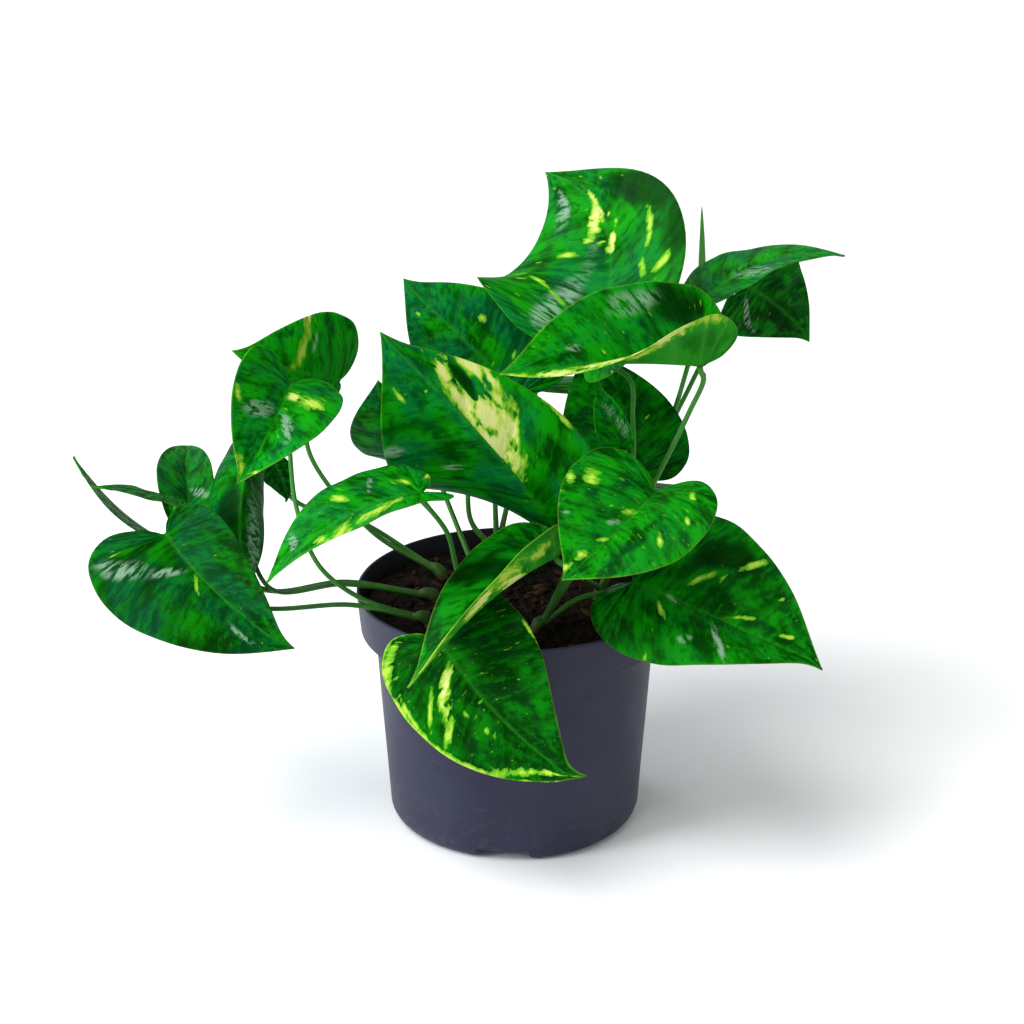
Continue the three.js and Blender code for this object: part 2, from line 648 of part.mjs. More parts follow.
const plant = new THREE.Group();
plant.add(named("pot", potGeometry(), POT_GREY, POT_ROUGHNESS_SHARE));
plant.add(named("soil", soilGeometry(), SOIL_BROWN, SOIL_ROUGHNESS_SHARE));
for (const stem of STEMS) {
  plant.add(named(stem.name, stemGeometry(stem), GREEN_STALK, STALK_ROUGHNESS_SHARE));
}
const shades = [GREEN_DEEP, GREEN_MIDDLE, GREEN_FRESH];
LEAVES.forEach((leaf, index) => {
  plant.add(named(leaf.name, bladeGeometry(leaf), shades[index % shades.length], BLADE_ROUGHNESS_SHARE));
});

export default plant;
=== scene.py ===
"""Dresses the potted pothos: pot, soil, stalks and variegated blades, with a floor, lights and a camera."""

import random
from math import copysign, cos, exp, hypot, pi, radians, sin, sqrt, tan

import bmesh
import bpy
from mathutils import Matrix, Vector, noise


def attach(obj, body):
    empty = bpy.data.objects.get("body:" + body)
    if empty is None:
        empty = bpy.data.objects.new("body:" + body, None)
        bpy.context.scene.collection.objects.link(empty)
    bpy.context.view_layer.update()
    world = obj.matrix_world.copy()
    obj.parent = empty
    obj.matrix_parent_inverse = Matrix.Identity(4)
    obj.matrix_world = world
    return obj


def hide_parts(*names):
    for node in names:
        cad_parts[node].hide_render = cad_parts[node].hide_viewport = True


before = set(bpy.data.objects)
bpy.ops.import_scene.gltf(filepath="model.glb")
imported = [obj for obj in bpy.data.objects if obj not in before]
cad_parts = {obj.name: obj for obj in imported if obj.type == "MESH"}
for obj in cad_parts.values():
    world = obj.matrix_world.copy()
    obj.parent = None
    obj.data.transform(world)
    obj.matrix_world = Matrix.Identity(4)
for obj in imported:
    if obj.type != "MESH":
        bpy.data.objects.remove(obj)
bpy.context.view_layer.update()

MM = 0.001
BODY = "root"

# Pot sizes in millimetres, as in the solids
POT_HEIGHT = 93
RIM_RADIUS = 60
COLLAR_HEIGHT = 16
COLLAR_FOOT = POT_HEIGHT - COLLAR_HEIGHT
COLLAR_FOOT_RADIUS = 58.6
BODY_TOP_RADIUS = 53.2
BODY_FOOT_RADIUS = 48.4
BODY_SIDE = [(49.6, 24), (51.3, 48), (52.6, 68)]
POT_WALL = 1.4
FOOT_ROUNDING = 5.5
FOOT_STEPS = 8
SHOULDER_DROP = 1.5
POT_SEGMENTS = 180
SHARP_ANGLE = 32
NOTCH_COUNT = 4
NOTCH_TURN = -0.1
NOTCH_FOOT_WIDTH = 23
NOTCH_TOP_WIDTH = 19
NOTCH_HEIGHT = 5
NOTCH_REACH = 36
DRAIN_RADIUS = 3.2
DRAIN_INSET = 1.2
DRAIN_SIDES = 28
COLLAR_FLARE = (RIM_RADIUS - COLLAR_FOOT_RADIUS) / COLLAR_HEIGHT
COLLAR_INSIDE = (RIM_RADIUS - POT_WALL - COLLAR_FLARE * POT_HEIGHT) * MM

# Points that round the pot's edges, as steps out and up from a corner of its section
SHOULDER = [(0, -SHOULDER_DROP), (0.5, -0.7)]
COLLAR_EDGE = [(-1.2, -0.25), (-0.35, 0), (0, 0.4), (0.1, 1.2)]
LIP = [(-0.12, -2.4), (0, -1.2), (-0.05, -0.5), (-0.35, -0.1), (-POT_WALL / 2, 0)]
LIP_INSIDE = [(0.25, -0.12), (0, -0.6)]

# Soil sizes in millimetres; each row of lumps has their height, their pitch and a layer of the noise
CLEARANCE = 0.35
SOIL_EDGE = 85.5
SOIL_CROWN = 88.5
SOIL_RELIEF = 0.9
SOIL_RINGS = 58
SOIL_SEGMENTS = 220
SOIL_LIP = 1.5
LUMPS = [(1.1, 0.33, 0), (0.8, 0.9, 4), (0.45, 2.1, 9)]
CRUMB_COUNT = 520
CRUMB_REACH = 55
CRUMB_SIZES = [0.5, 0.7, 0.9, 1.2, 1.7]
CHIP_SHARE = 0.22

# Plant sizes in millimetres
BLADE_THICKNESS = 0.9
MARGIN_THICKNESS = 0.35
VEIN_DEPTH = 0.28
RIB_GROOVE = 0.28
RIB_RISE = 0.45
PETIOLE_RADIUS = 1.15
KNEE_LENGTH = 4
KNEE_SETBACK = 0.6
STALK_TIP_LENGTH = 1.2
STALK_SEAT = 0.7
STALK_GAP = 0.1
STALK_STEP = 2
STEM_RADIUS = 2.3
STEM_FLOOR = 70
STEM_STEP = 0.8
SPLINE_STEPS = 24
FLOW_PER_MM = 0.01

# Half of a blade's outline: share of the half width, share of the length, and where its vein starts
OUTLINE = [
    (0, 0, 0), (0.2, -0.085, 0), (0.56, -0.125, 0), (0.87, -0.035, 0), (1, 0.13, 0.02),
    (0.97, 0.33, 0.16), (0.79, 0.54, 0.37), (0.52, 0.74, 0.6), (0.22, 0.9, 0.81), (0, 1, 1),
]
VEINS = len(OUTLINE) - 1
ROWS_PER_VEIN = 6
COLUMNS = [0, 0.015, 0.035, 0.07, 0.13, 0.21, 0.3, 0.4, 0.5, 0.6, 0.7, 0.79, 0.87, 0.93, 0.97, 1]
VEIN_ARCH = 1.25
VEIN_SHARPNESS = 10
LEAST_BEND = 0.01
RIPPLE_PITCH = 9
RIPPLE_SHIFT = 2.4
FLUTTER_PITCH = 2.7 * RIPPLE_PITCH
FLUTTER_SHARE = 0.3
HOOK_START = 0.8
TAIL_START = 0.9
TAIL_STRETCH = 0.03
SEED_STEP = 3.7
FAR = 9

# Each stem's foot in the soil and its top, in millimetres
STEMS = dict(
    left_front=((-32, -24), (-38, -26, 92)),
    left=((-30, -3), (-37, -4, 92)),
    left_back=((-28, 18), (-33, 20, 94)),
    back=((-7, 34), (-7, 36, 96)),
    middle=((-12, 4), (-14, 4, 95)),
    right_back=((28, 26), (30, 27, 95)),
    right=((32, -2), (34, -2, 95)),
    front=((-8, -26), (-9, -28, 94)),
    right_front=((8, -30), (13, -30, 93)),
)
SPEAR_STEM = "right_back"
SPEAR_FOOT = (74, 61, 164)
SPEAR_TIP = (73, 76, 221)
SPEAR_RADII = [(0.9, 0), (1.25, 0.1), (1.55, 0.25), (1.7, 0.4), (1.55, 0.6), (1.1, 0.8), (0.4, 0.97), (0, 1)]
SPEAR_STEPS = 44

# Colours, as shares of red, green and blue light
POT_DARK = (0.018, 0.019, 0.04)
POT_LIGHT = (0.026, 0.028, 0.054)
POT_SCUFF = (0.05, 0.052, 0.085)
# Painted shade on the pot's inner wall
POT_INSIDE_SHADE = (0.008, 0.006, 0.007)
POT_DUST = (0.1, 0.085, 0.075)
SOIL_DARK = (0.003, 0.002, 0.0015)
SOIL_BROWN = (0.013, 0.007, 0.004)
SOIL_PATCH = (0.019, 0.01, 0.006)
SOIL_CHIP = (0.045, 0.02, 0.009)
STALK_DEEP = (0.008, 0.085, 0.004)
STALK_FRESH = (0.03, 0.19, 0.012)
STALK_PALE = (0.16, 0.4, 0.08)
STALK_CLOUD = (0.008, 0.07, 0.006)
# Painted light high on the stalks, and painted shade low in the pot
STALK_LIT_HIGH = (0.06, 0.28, 0.035)
STALK_SHADED_LOW = (0.003, 0.03, 0.002)
STALK_DRY = (0.06, 0.045, 0.02)
# Painted shade: the near black green laid where a blade lies in shadow
SHADE = (0.0002, 0.02, 0.0002)
LIME = (0.11, 0.36, 0.012)
YELLOW = (0.36, 0.52, 0.055)
CREAM = (0.56, 0.61, 0.2)
# Painted highlight: the pale grey-green laid where a blade catches the light
PAINTED_SHEEN = (0.2, 0.33, 0.22)
MIDRIB = (0.02, 0.22, 0.012)
UNDER_DARK = (0.01, 0.16, 0.006)
UNDER_LIGHT = (0.02, 0.24, 0.012)
UNDER_VEIN = (0.05, 0.3, 0.035)
SKY = (0.97, 0.98, 1)
SUNLIGHT = (1, 0.985, 0.96)
LEFT_LIGHT = (0.84, 0.91, 1)
BACK_LIGHT = (0.86, 0.93, 1)
FLOOR_DARK = (0.86, 0.86, 0.86)
FLOOR_LIGHT = (0.88, 0.88, 0.88)

# Studio: lengths in metres, except the floor's in millimetres
SKY_STRENGTH = 0.62
FLOOR_REACH = 9000
CAMERA_PLACE = (-0.001, -0.845, 0.454)
CAMERA_TILT = 21.4

# What a blade's row leaves out
PLAIN_LEAF = dict(
    bow=0.4, sweep=0, fold=(0.1, 0.1), twist=(0, 0), curl=(-0.2, -0.2), wave=1, hook=0, tail=1, via=[],
    tone=0.5, cool=0.4, streaks=0, spots=0, edge=0.05, cream=[], lime=[], sheen=[], shade=[],
)
LEAVES = {}


def add_leaf(name, stem, base, tip, face, half, **row):
    form = dict(stem=stem, base=base, tip=tip, face=face, half=half)
    LEAVES["leaf_" + name] = {**PLAIN_LEAF, **form, **row}


# A row has the blade's name and stem, then its form as in the solids: base and tip in millimetres, the way
# its face looks, the half widths, the bends in radians, the wave of its margin, the hook of its tip, and the
# places that its stalk passes. Pairs are left, then right. The tail is only drawn here: how far the fine tip
# turns aside. The looks follow: how light the green is (tone), its share of blue-green, a painted reflection
# of the bluish sky (cool), how many small streaks and spots there are, and how wide the yellow margin is
# (edge).
# The marks come last, in hundredths: a place (share of the half width, minus on the left, and share of the
# outline's run), the reach across the blade, the width along the run, and the turn in radians. Cream and
# lime marks are the blade's own colour. Sheen marks are painted highlight where the blade catches the light.
# Shade marks lay painted shade where the blade lies in shadow, except on cream_patch, where the shade mark
# is a dark green strip through the cream.
add_leaf(
    "top", "right", (27, 21, 182), (13, 95, 229), (-0.2, -0.45, 0.6), (50, 36), bow=0.5, sweep=1.55,
    fold=(-0.1, 0.25), twist=(0.6, 0.8), curl=(0, 0.15), wave=1.5, tail=1.5,
    via=[(44, 4, 138), (44, 8, 158), (43, 12, 171)],
    tone=0.6, cool=0.65, streaks=0.6, spots=0.2, edge=0.1, cream=[(-4, 79, 22, 3, 30), (6, 71, 8, 2, 20)],
    lime=[(62, 66, 12, 2, 30), (-46, 68, 13, 1, 0), (72, 57, 9, 1, 0), (46, 60, 5, 2, -20),
        (-50, 55, 21, 1, -20)],
    sheen=[(-60, 84, 17, 6, 10), (-44, 36, 39, 10, 90)], shade=[(85, 72, 30, 9, -20), (95, 60, 20, 6, 0)],
)
add_leaf(
    "folded", "right", (68, -10, 184), (-3, -42, 191), (0.05, -0.1, 1), (24, 32), bow=0.25,
    fold=(0.55, 0.85), twist=(1.5, 0.2), curl=(0, -0.2), via=[(50, -4, 132), (64, -5, 164)],
    tone=0.8, cool=0.3, streaks=0.5, spots=0.1, edge=0.15,
    cream=[(-90, 82, 30, 8, 10), (-80, 70, 30, 6, 20), (-95, 58, 22, 10, 0)],
    lime=[(-95, 92, 30, 8, 10), (-60, 62, 35, 4, 20), (-95, 45, 15, 10, 0)],
    sheen=[(78, 58, 17, 8, -20), (40, 78, 10, 2, 10)], shade=[(70, 44, 30, 10, -10)],
)
add_leaf(
    "cream_patch", "right", (15, -14, 122), (-46, -30, 200), (-0.2, -0.85, 0.5), (52, 29), bow=0.35,
    sweep=0.2, fold=(-0.6, 0), twist=(-1.2, 1.5), curl=(-0.1, -0.2), via=[(23, -17, 107)],
    tone=0.65, cool=0.9, streaks=0.1, spots=0.3, edge=0.1,
    cream=[(56, 83, 31, 2, 0), (24, 78, 28, 5, 10), (6, 70, 15, 8, 0), (32, 72, 26, 6, 0),
        (94, 76, 16, 3, 0), (88, 72, 18, 2, 10), (50, 68, 32, 3, 10), (20, 68, 18, 5, 0)],
    lime=[(100, 59, 7, 3, 90), (-70, 85, 10, 1, -20), (86, 71, 15, 1, 0)],
    sheen=[(-90, 72, 13, 2, 0), (-48, 65, 11, 1, 0)], shade=[(64, 78, 19, 2, 10)],
)
add_leaf(
    "upper_left", "back", (2, 32, 159), (-42, 48, 198), (-0.3, -0.8, 0.55), (27, 28),
    via=[(-7, 36, 130), (-2, 36, 145)],
    tone=0.55, cool=0.9, streaks=0.05, spots=0.05,
    lime=[(-58, 85, 8, 1, 0), (52, 69, 6, 1, 0), (32, 55, 6, 1, 0)],
)
add_leaf(
    "behind_patch", "middle", (-34, 22, 139), (-51, 4, 172), (-0.3, -0.8, 0.5), (26, 22), bow=0.5,
    sweep=-0.2, fold=(-0.1, 0), curl=(-0.6, -0.2), via=[(-27, 26, 120)],
    tone=0.45, cool=0.8,
)
add_leaf(
    "inner_right", "right_back", (45, 16, 132), (27, 38, 174), (0.1, -0.85, 0.45), (24, 25),
    tone=0.3, cool=0.2, spots=0.05, edge=0,
)
add_leaf(
    "left_high", "left_back", (-66, 20, 168), (-101, -10, 188), (-0.1, -0.8, 0.6), (12, 25), bow=0.65,
    sweep=-0.35, fold=(-0.8, 0.65), curl=(-0.2, -0.6), via=[(-56, 24, 106), (-80, 32, 138)],
    tone=1, cool=0.2, streaks=0.1, spots=0.3, edge=0.1, cream=[(98, 65, 13, 2, -10)],
    lime=[(46, 70, 52, 2, -10)], sheen=[(56, 64, 20, 1, -10)],
)
add_leaf(
    "left_middle", "left_front", (-81, -14, 178), (-97, -42, 151), (-0.1, -0.7, 0.35), (21, 22), bow=0.75,
    sweep=-0.35, fold=(0.5, 0.7), twist=(-0.55, 0.05), curl=(-0.5, 0),
    via=[(-57, -22, 97), (-73, -14, 107), (-82, 0, 125), (-84, 4, 145)],
    tone=0.75, cool=0.5, streaks=0.2, spots=0.3, edge=0.15, cream=[(-18, 54, 15, 3, 10)],
    lime=[(-52, 53, 22, 4, 10), (90, 61, 8, 3, -40), (80, 90, 22, 5, -10), (-98, 88, 29, 2, 10)],
    sheen=[(-38, 68, 37, 3, -10), (46, 66, 35, 4, 0)],
)
add_leaf(
    "left_hanging", "left", (-99, 4, 143), (-100, -10, 96), (0.44, -0.55, 0.39), (21, 22), bow=0, sweep=0.6,
    fold=(-0.15, -0.95), twist=(-0.4, -0.4), curl=(-0.9, -0.9), tail=0,
    via=[(-64, -8, 96.8), (-92, -6, 94), (-103, 13, 116)],
    tone=0.4, cool=0.8, edge=0, sheen=[(-54, 77, 43, 14, -30)], shade=[(24, 69, 43, 13, 0)],
)
add_leaf(
    "left_shaded", "left_back", (-93, 33, 130), (-88, 30, 116), (0.36, -0.32, 0.73), (6, 9), sweep=-0.25,
    fold=(0.2, 0.15), curl=(-0.25, -0.2), wave=0.5, via=[(-60, 30, 107), (-85, 40, 111)],
    tone=0.2,
)
add_leaf(
    "left_small", "left", (-125, 20, 112), (-131, 70, 124), (0.54, -0.85, 1.25), (14, 12), bow=0.85,
    sweep=-0.4, fold=(0.35, 0.65), twist=(0.65, 0.25), curl=(-0.35, 0.1), wave=0.5,
    via=[(-64, -4, 95.4), (-93, -3, 92), (-114, 14, 98)],
    cool=0.5, sheen=[(48, 53, 43, 3, -20), (100, 16, 60, 5, -10)],
)
add_leaf(
    "left_narrow", "left", (-126, 3, 125), (-155, -11, 137), (0.1, 0.1, 1), (9, 9), bow=0.3, wave=0.5,
    via=[(-64, -6, 96), (-93, -5, 93), (-116, -4, 107)],
    tone=0.4,
)
add_leaf(
    "left_edge", "left", (-143, 14, 110), (-168, 22, 136), (0.75, 0.24, 0.61), (13, 13), bow=-0.5, wave=0,
    via=[(-64, -2, 95.2), (-93, -1, 91), (-124, 16, 96)],
    tone=0.3, cool=0.6, edge=0,
)
add_leaf(
    "far_left", "left_front", (-129, -16, 120), (-82, -51, 90), (0.1, -0.86, 0.6), (20, 34), sweep=0.4,
    fold=(0.27, 0.34), twist=(-0.28, 0.07), curl=(-0.32, -0.25), tail=-1.5,
    via=[(-60, -28, 97), (-95, -26, 95), (-126, -16, 102)],
    tone=0.2, cool=0.7, lime=[(14, 67, 10, 1, 20)],
    sheen=[(66, 44, 33, 5, -30), (26, 58, 18, 2, -20), (56, 84, 22, 2, 20)],
)
add_leaf(
    "arched", "front", (-33, -48, 149), (-85, -70, 125), (-0.1, -0.15, 1), (18, 25), bow=0.9,
    fold=(0.35, 0.1), via=[(-20, -36, 112), (-24, -40, 130)],
    tone=0.75, cool=0.5, streaks=0.25, spots=0.3, edge=0.1,
    lime=[(-58, 59, 31, 6, -10), (-100, 68, 56, 3, 0), (-84, 74, 35, 2, 10), (56, 65, 15, 2, 0),
        (34, 44, 12, 4, 10), (98, 19, 41, 2, -10)],
    sheen=[(54, 84, 42, 2, -10), (58, 54, 26, 1, -20)],
)
add_leaf(
    "front", "front", (-27, -63, 99), (21, -85, 55), (-0.14, -0.8, 0.08), (30, 29), bow=0.2, sweep=0.35,
    fold=(0.25, 0.15), twist=(-0.55, -0.15), curl=(-0.5, -0.3), wave=1.2, hook=3, tail=-5,
    via=[(-16, -46, 104)],
    tone=0.15, cool=0.1, streaks=0.3, spots=0.6, edge=0.12, cream=[(34, 57, 29, 2, 10)],
    lime=[(66, 55, 22, 1, 10), (72, 62, 19, 1, 0), (94, 35, 14, 7, 50), (94, 51, 8, 3, 70),
        (72, 86, 35, 4, -40), (-98, 51, 5, 2, -120), (36, 71, 6, 1, 0), (36, 65, 4, 1, 0),
        (100, 50, 5, 45, 0)],
)
add_leaf(
    "front_narrow", "right_front", (15, -43, 123), (-35, -93, 96), (-0.04, -0.21, 0.91), (18, 26), bow=0.65,
    sweep=0.05, fold=(1.15, -0.25), twist=(0.3, 0.6), curl=(-0.05, 0.05), via=[(17, -35, 109)],
    tone=0.45, cool=0.1, streaks=0.1, spots=0.1, edge=0.2,
    cream=[(-8, 63, 30, 4, -10), (-50, 72, 40, 5, 10)],
    lime=[(-46, 51, 21, 5, 10), (-92, 88, 60, 10, 10), (-60, 62, 50, 6, 0)], shade=[(56, 58, 48, 6, 0)],
)
add_leaf(
    "spotted", "right_front", (50, -41, 146), (18, -74, 127), (-0.17, -0.55, 0.76), (30, 30), bow=0.25,
    sweep=-0.15, fold=(0.35, 0.4), twist=(0.65, 0.2), curl=(-0.65, -0.6),
    via=[(20, -29, 107), (35, -30, 126)],
    tone=0.55, cool=0.2, streaks=0.3, spots=0.75, edge=0.15,
    lime=[(94, 55, 7, 3, -30), (70, 53, 11, 4, -20), (6, 62, 9, 2, 10), (6, 77, 11, 1, 10),
        (32, 87, 21, 2, 0), (80, 93, 27, 2, 0), (-66, 63, 9, 1, -10), (-74, 52, 5, 1, -10),
        (-62, 38, 5, 4, 10), (30, 63, 5, 1, 10)],
    sheen=[(14, 69, 10, 2, 10), (88, 71, 8, 1, 0)],
)
add_leaf(
    "young", "right", (39, -8, 152), (31, 4, 171), (-0.2, -0.8, 0.4), (8, 8), bow=0.3, fold=(0.5, 0.5),
    curl=(0.3, 0.3), wave=0.5, via=[(40, -6, 130)],
    tone=0.8, cool=0.5, spots=0.3, sheen=[(6, 77, 56, 6, -10), (54, 56, 31, 11, -20)],
)
add_leaf(
    "right", "right_front", (43, -39, 111), (108, -63, 89), (0.14, -0.6, 0.63), (41, 27), bow=0.35,
    sweep=0.15, fold=(0.1, 0.5), twist=(-0.35, -0.7), curl=(-0.25, -0.7), wave=1.2, via=[(24, -33, 102)],
    tone=0.45, cool=0.15, streaks=0.3, spots=0.3, edge=0.1,
    lime=[(-36, 61, 19, 1, -10), (-82, 67, 16, 1, -10), (-16, 75, 12, 1, -20), (-44, 87, 17, 1, -10),
        (24, 56, 17, 1, 10)],
    sheen=[(2, 59, 6, 2, 40), (62, 70, 42, 1, 0), (60, 12, 60, 7, -10), (62, 62, 8, 2, -10)],
    shade=[(-68, 60, 19, 6, -20)],
)
add_leaf(
    "right_high", "right_back", (71, 36, 195), (123, 42, 211), (0.13, 0, 1.06), (25, 17), bow=0.85,
    sweep=-0.05, twist=(0.15, 0.1), curl=(-0.2, -0.1), via=[(58, 34, 142), (68, 32, 178)],
    tone=0.75, cool=0.9, sheen=[(40, 64, 60, 5, 0)],
)
add_leaf(
    "right_shaded", "right_back", (91, 61, 193), (117, 74, 168), (-0.05, -1, 0.6), (20, 21), bow=0.2,
    sweep=-0.25, fold=(0.05, -0.5), twist=(0.45, 0.5), curl=(-0.1, -0.35),
    via=[(60, 46, 140), (75, 62, 165)],
    tone=0.3, cool=0.3, edge=0, sheen=[(42, 52, 42, 3, 30)], shade=[(10, 74, 42, 13, 10)],
)
add_leaf(
    "back_left", "back", (-26, 56, 134), (-48, 100, 112), (-0.2, 0.5, 0.8), (26, 26), bow=0.6,
    via=[(-17, 38, 104), (-19, 42, 124)],
    streaks=0.5, spots=0.5, edge=0.2,
)
add_leaf(
    "back_middle", "back", (8, 58, 152), (4, 112, 134), (0, 0.4, 0.9), (28, 28), bow=0.6,
    via=[(2, 42, 132)],
    tone=0.6, streaks=0.5, spots=0.5, edge=0.2,
)
add_leaf(
    "back_right", "right_back", (36, 56, 112), (62, 94, 92), (0.2, 0.5, 0.8), (24, 24), bow=0.6,
    streaks=0.5, spots=0.4, edge=0.3,
)

# Meshes


def turns(count):
    """Evenly spaced angles of a full turn."""
    return [step * 2 * pi / count for step in range(count)]


def make_piece(name, places, faces, material, uvs=None, values=None):
    """A piece in metres from places in millimetres, with its material, its flow map and the values it
    stores.
    """
    mesh = bpy.data.meshes.new(name)
    mesh.from_pydata([tuple(c * MM for c in place) for place in places], [], faces)
    if uvs:
        layer = mesh.uv_layers.new(name="Flow")
        for loop in mesh.loops:
            layer.data[loop.index].uv = uvs[loop.vertex_index]
    for key, numbers in (values or {}).items():
        attribute = mesh.attributes.new(key, "FLOAT", "POINT")
        attribute.data.foreach_set("value", numbers)
    mesh.polygons.foreach_set("use_smooth", [True] * len(mesh.polygons))
    mesh.materials.append(material)
    mesh.update()
    piece = bpy.data.objects.new(name, mesh)
    bpy.context.scene.collection.objects.link(piece)
    return piece


def fit(piece, node):
    """The piece rides with the body and stands for the node, whose solid is hidden."""
    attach(piece, BODY)
    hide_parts(node)


def add_face(faces, corners, sign=1):
    """Adds a face without its repeated corners, and backwards if the sign is minus."""
    kept = [c for place, c in enumerate(corners) if c not in corners[:place]]
    if len(kept) > 2:
        faces.append(kept[::sign])


def lathe(profile, segments):
    """Places and faces of a turned body whose profile starts and ends on the axis."""
    places, rings = [], []
    for radius, height in profile:
        start = len(places)
        if radius == 0:
            places.append((0, 0, height))
            rings.append([start] * segments)
            continue
        places += [(radius * cos(angle), radius * sin(angle), height) for angle in turns(segments)]
        rings.append(range(start, len(places)))
    faces = []
    for low, high in zip(rings, rings[1:]):
        for step in range(segments):
            after = (step + 1) % segments
            add_face(faces, [low[step], low[after], high[after], high[step]])
    return places, faces


def tube_faces(start, count, rings):
    """The sides and the two ends of a tube whose rings of places follow one another."""
    last = start + (rings - 1) * count
    sides = []
    for low in range(start, last, count):
        for step in range(count):
            after = (step + 1) % count
            sides.append([low + step, low + after, low + count + after, low + count + step])
    return sides, [[start + step for step in reversed(range(count))], [last + step for step in range(count)]]


def edit(piece, change):
    """Makes a change to the piece's mesh."""
    shape = bmesh.new()
    shape.from_mesh(piece.data)
    change(shape)
    shape.to_mesh(piece.data)
    shape.free()


def outward(shape):
    """Turns every face of a closed mesh to look out."""
    bmesh.ops.recalc_face_normals(shape, faces=shape.faces)


def sharpen(shape):
    """Marks the edges that turn by more than the sharp angle."""
    limit = radians(SHARP_ANGLE)
    for edge in shape.edges:
        edge.smooth = len(edge.link_faces) != 2 or edge.calc_face_angle(0) < limit


# Materials


class Shader:
    """A node material, with short calls for the nodes that it needs and the colour laid so far."""

    def __init__(self, name, colour):
        self.material = bpy.data.materials.new(name)
        self.material.use_nodes = True
        self.tree = self.material.node_tree
        self.surface = self.tree.nodes["Principled BSDF"]
        self.colour = colour

    def put(self, value, socket):
        """Links another node's output, or sets a constant."""
        if isinstance(value, bpy.types.NodeSocket):
            self.tree.links.new(value, socket)
        else:
            socket.default_value = (*value, 1) if socket.type == "RGBA" else value

    def node(self, kind, output, inputs, **settings):
        """Makes a node with these inputs, and gives back one of its outputs."""
        made = self.tree.nodes.new("ShaderNode" + kind)
        for key, value in settings.items():
            setattr(made, key, value)
        for key, value in inputs.items():
            self.put(value, made.inputs[key])
        return made.outputs[output]

    def math(self, operation, first, second):
        return self.node("Math", 0, {0: first, 1: second}, operation=operation)

    def times(self, first, second):
        return self.math("MULTIPLY", first, second)

    def plus(self, first, second, gain=1):
        """The first, and the second times the gain."""
        return self.math("ADD", first, self.times(second, gain))

    def ramp(self, value, low, high):
        """0 below low, 1 above high, and smooth between."""
        inputs = {"Value": value, "From Min": low, "From Max": high}
        return self.node("MapRange", "Result", inputs, interpolation_type="SMOOTHSTEP")

    def mix(self, share, first, second):
        inputs = {"Factor": share, "A": first, "B": second}
        return self.node("Mix", "Result", inputs, data_type="RGBA")

    def lay(self, colour, share, strength=1):
        """Puts a colour over the one laid so far."""
        self.colour = self.mix(self.times(share, strength), self.colour, colour)

    def tint(self, colour, value, low, high, strength=1):
        """Lays a colour that comes in as the value goes from low to high."""
        self.lay(colour, self.ramp(value, low, high), strength)

    def value(self, name):
        """What the mesh stores under this name."""
        return self.node("Attribute", "Fac", {}, attribute_name=name)

    def place(self):
        return self.node("TexCoord", "Object", {})

    def flow(self):
        return self.node("UVMap", "UV", {}, uv_map="Flow")

    def part(self, vector, axis):
        return self.node("SeparateXYZ", axis, {0: vector})

    def length(self, vector):
        return self.node("VectorMath", "Value", {0: vector}, operation="LENGTH")

    def spots(self, coordinates, scale, detail=2, rough=0.5):
        """Noise from 0 to 1."""
        inputs = {"Vector": coordinates, "Scale": scale, "Detail": detail, "Roughness": rough}
        return self.node("TexNoise", "Fac", inputs)

    def stretched(self, coordinates, scale, shift=(0, 0, 0), turn=0, kind="POINT"):
        inputs = {"Vector": coordinates, "Scale": scale, "Location": shift, "Rotation": (0, 0, turn)}
        return self.node("Mapping", "Vector", inputs, vector_type=kind)

    def patches(self, flow, marks):
        """How far the middle of the nearest mark is, as a share of the way to that mark's edge."""
        nearest = FAR
        for mark in marks:
            share, run, reach, width, turn = (part / 100 for part in mark)
            local = self.stretched(flow, (reach, width, 1), (share, run, 0), turn, "TEXTURE")
            nearest = self.math("MINIMUM", self.length(local), nearest)
        return nearest

    def bump(self, height, strength, distance):
        inputs = {"Height": height, "Strength": strength, "Distance": distance}
        self.put(self.node("Bump", "Normal", inputs), self.surface.inputs["Normal"])

    def finish(self, roughness, specular):
        self.put(self.colour, self.surface.inputs["Base Color"])
        self.put(roughness, self.surface.inputs["Roughness"])
        self.surface.inputs["Specular IOR Level"].default_value = specular
        return self.material


def pot_material():
    """Satin plastic: cloudy blue-grey with fine scuffs, painted shade near black inside the collar, dusty at
    the foot.
    """
    plastic = Shader("pot_plastic", POT_DARK)
    place = plastic.place()
    plastic.tint(POT_LIGHT, plastic.spots(place, 18, 3), 0.35, 0.65)
    streak = plastic.spots(plastic.stretched(place, (60, 60, 900)), 1, 3)
    plastic.tint(POT_SCUFF, streak, 0.6, 0.8, 0.35)
    height = plastic.part(place, "Z")
    # Painted shade: the inner wall from the soil up to the lip is laid near black, where the pot shades it
    radius = plastic.length(plastic.stretched(place, (1, 1, 0)))
    inside = plastic.plus(radius, height, -COLLAR_FLARE)
    inside = plastic.ramp(inside, COLLAR_INSIDE + 0.0004, COLLAR_INSIDE - 0.0001)
    above_soil = plastic.ramp(height, SOIL_EDGE * MM - 0.003, SOIL_EDGE * MM - 0.002)
    plastic.lay(POT_INSIDE_SHADE, plastic.times(inside, above_soil), 0.9)
    dust = plastic.ramp(plastic.spots(place, 260, 4), 0.5, 0.72)
    plastic.lay(POT_DUST, plastic.times(plastic.ramp(height, 0.03, 0), dust), 0.22)
    plastic.bump(plastic.plus(plastic.spots(place, 1500), streak, 0.5), 0.12, 0.0002)
    return plastic.finish(plastic.plus(0.36, plastic.spots(place, 90, 4, 0.65), 0.2), 0.2)


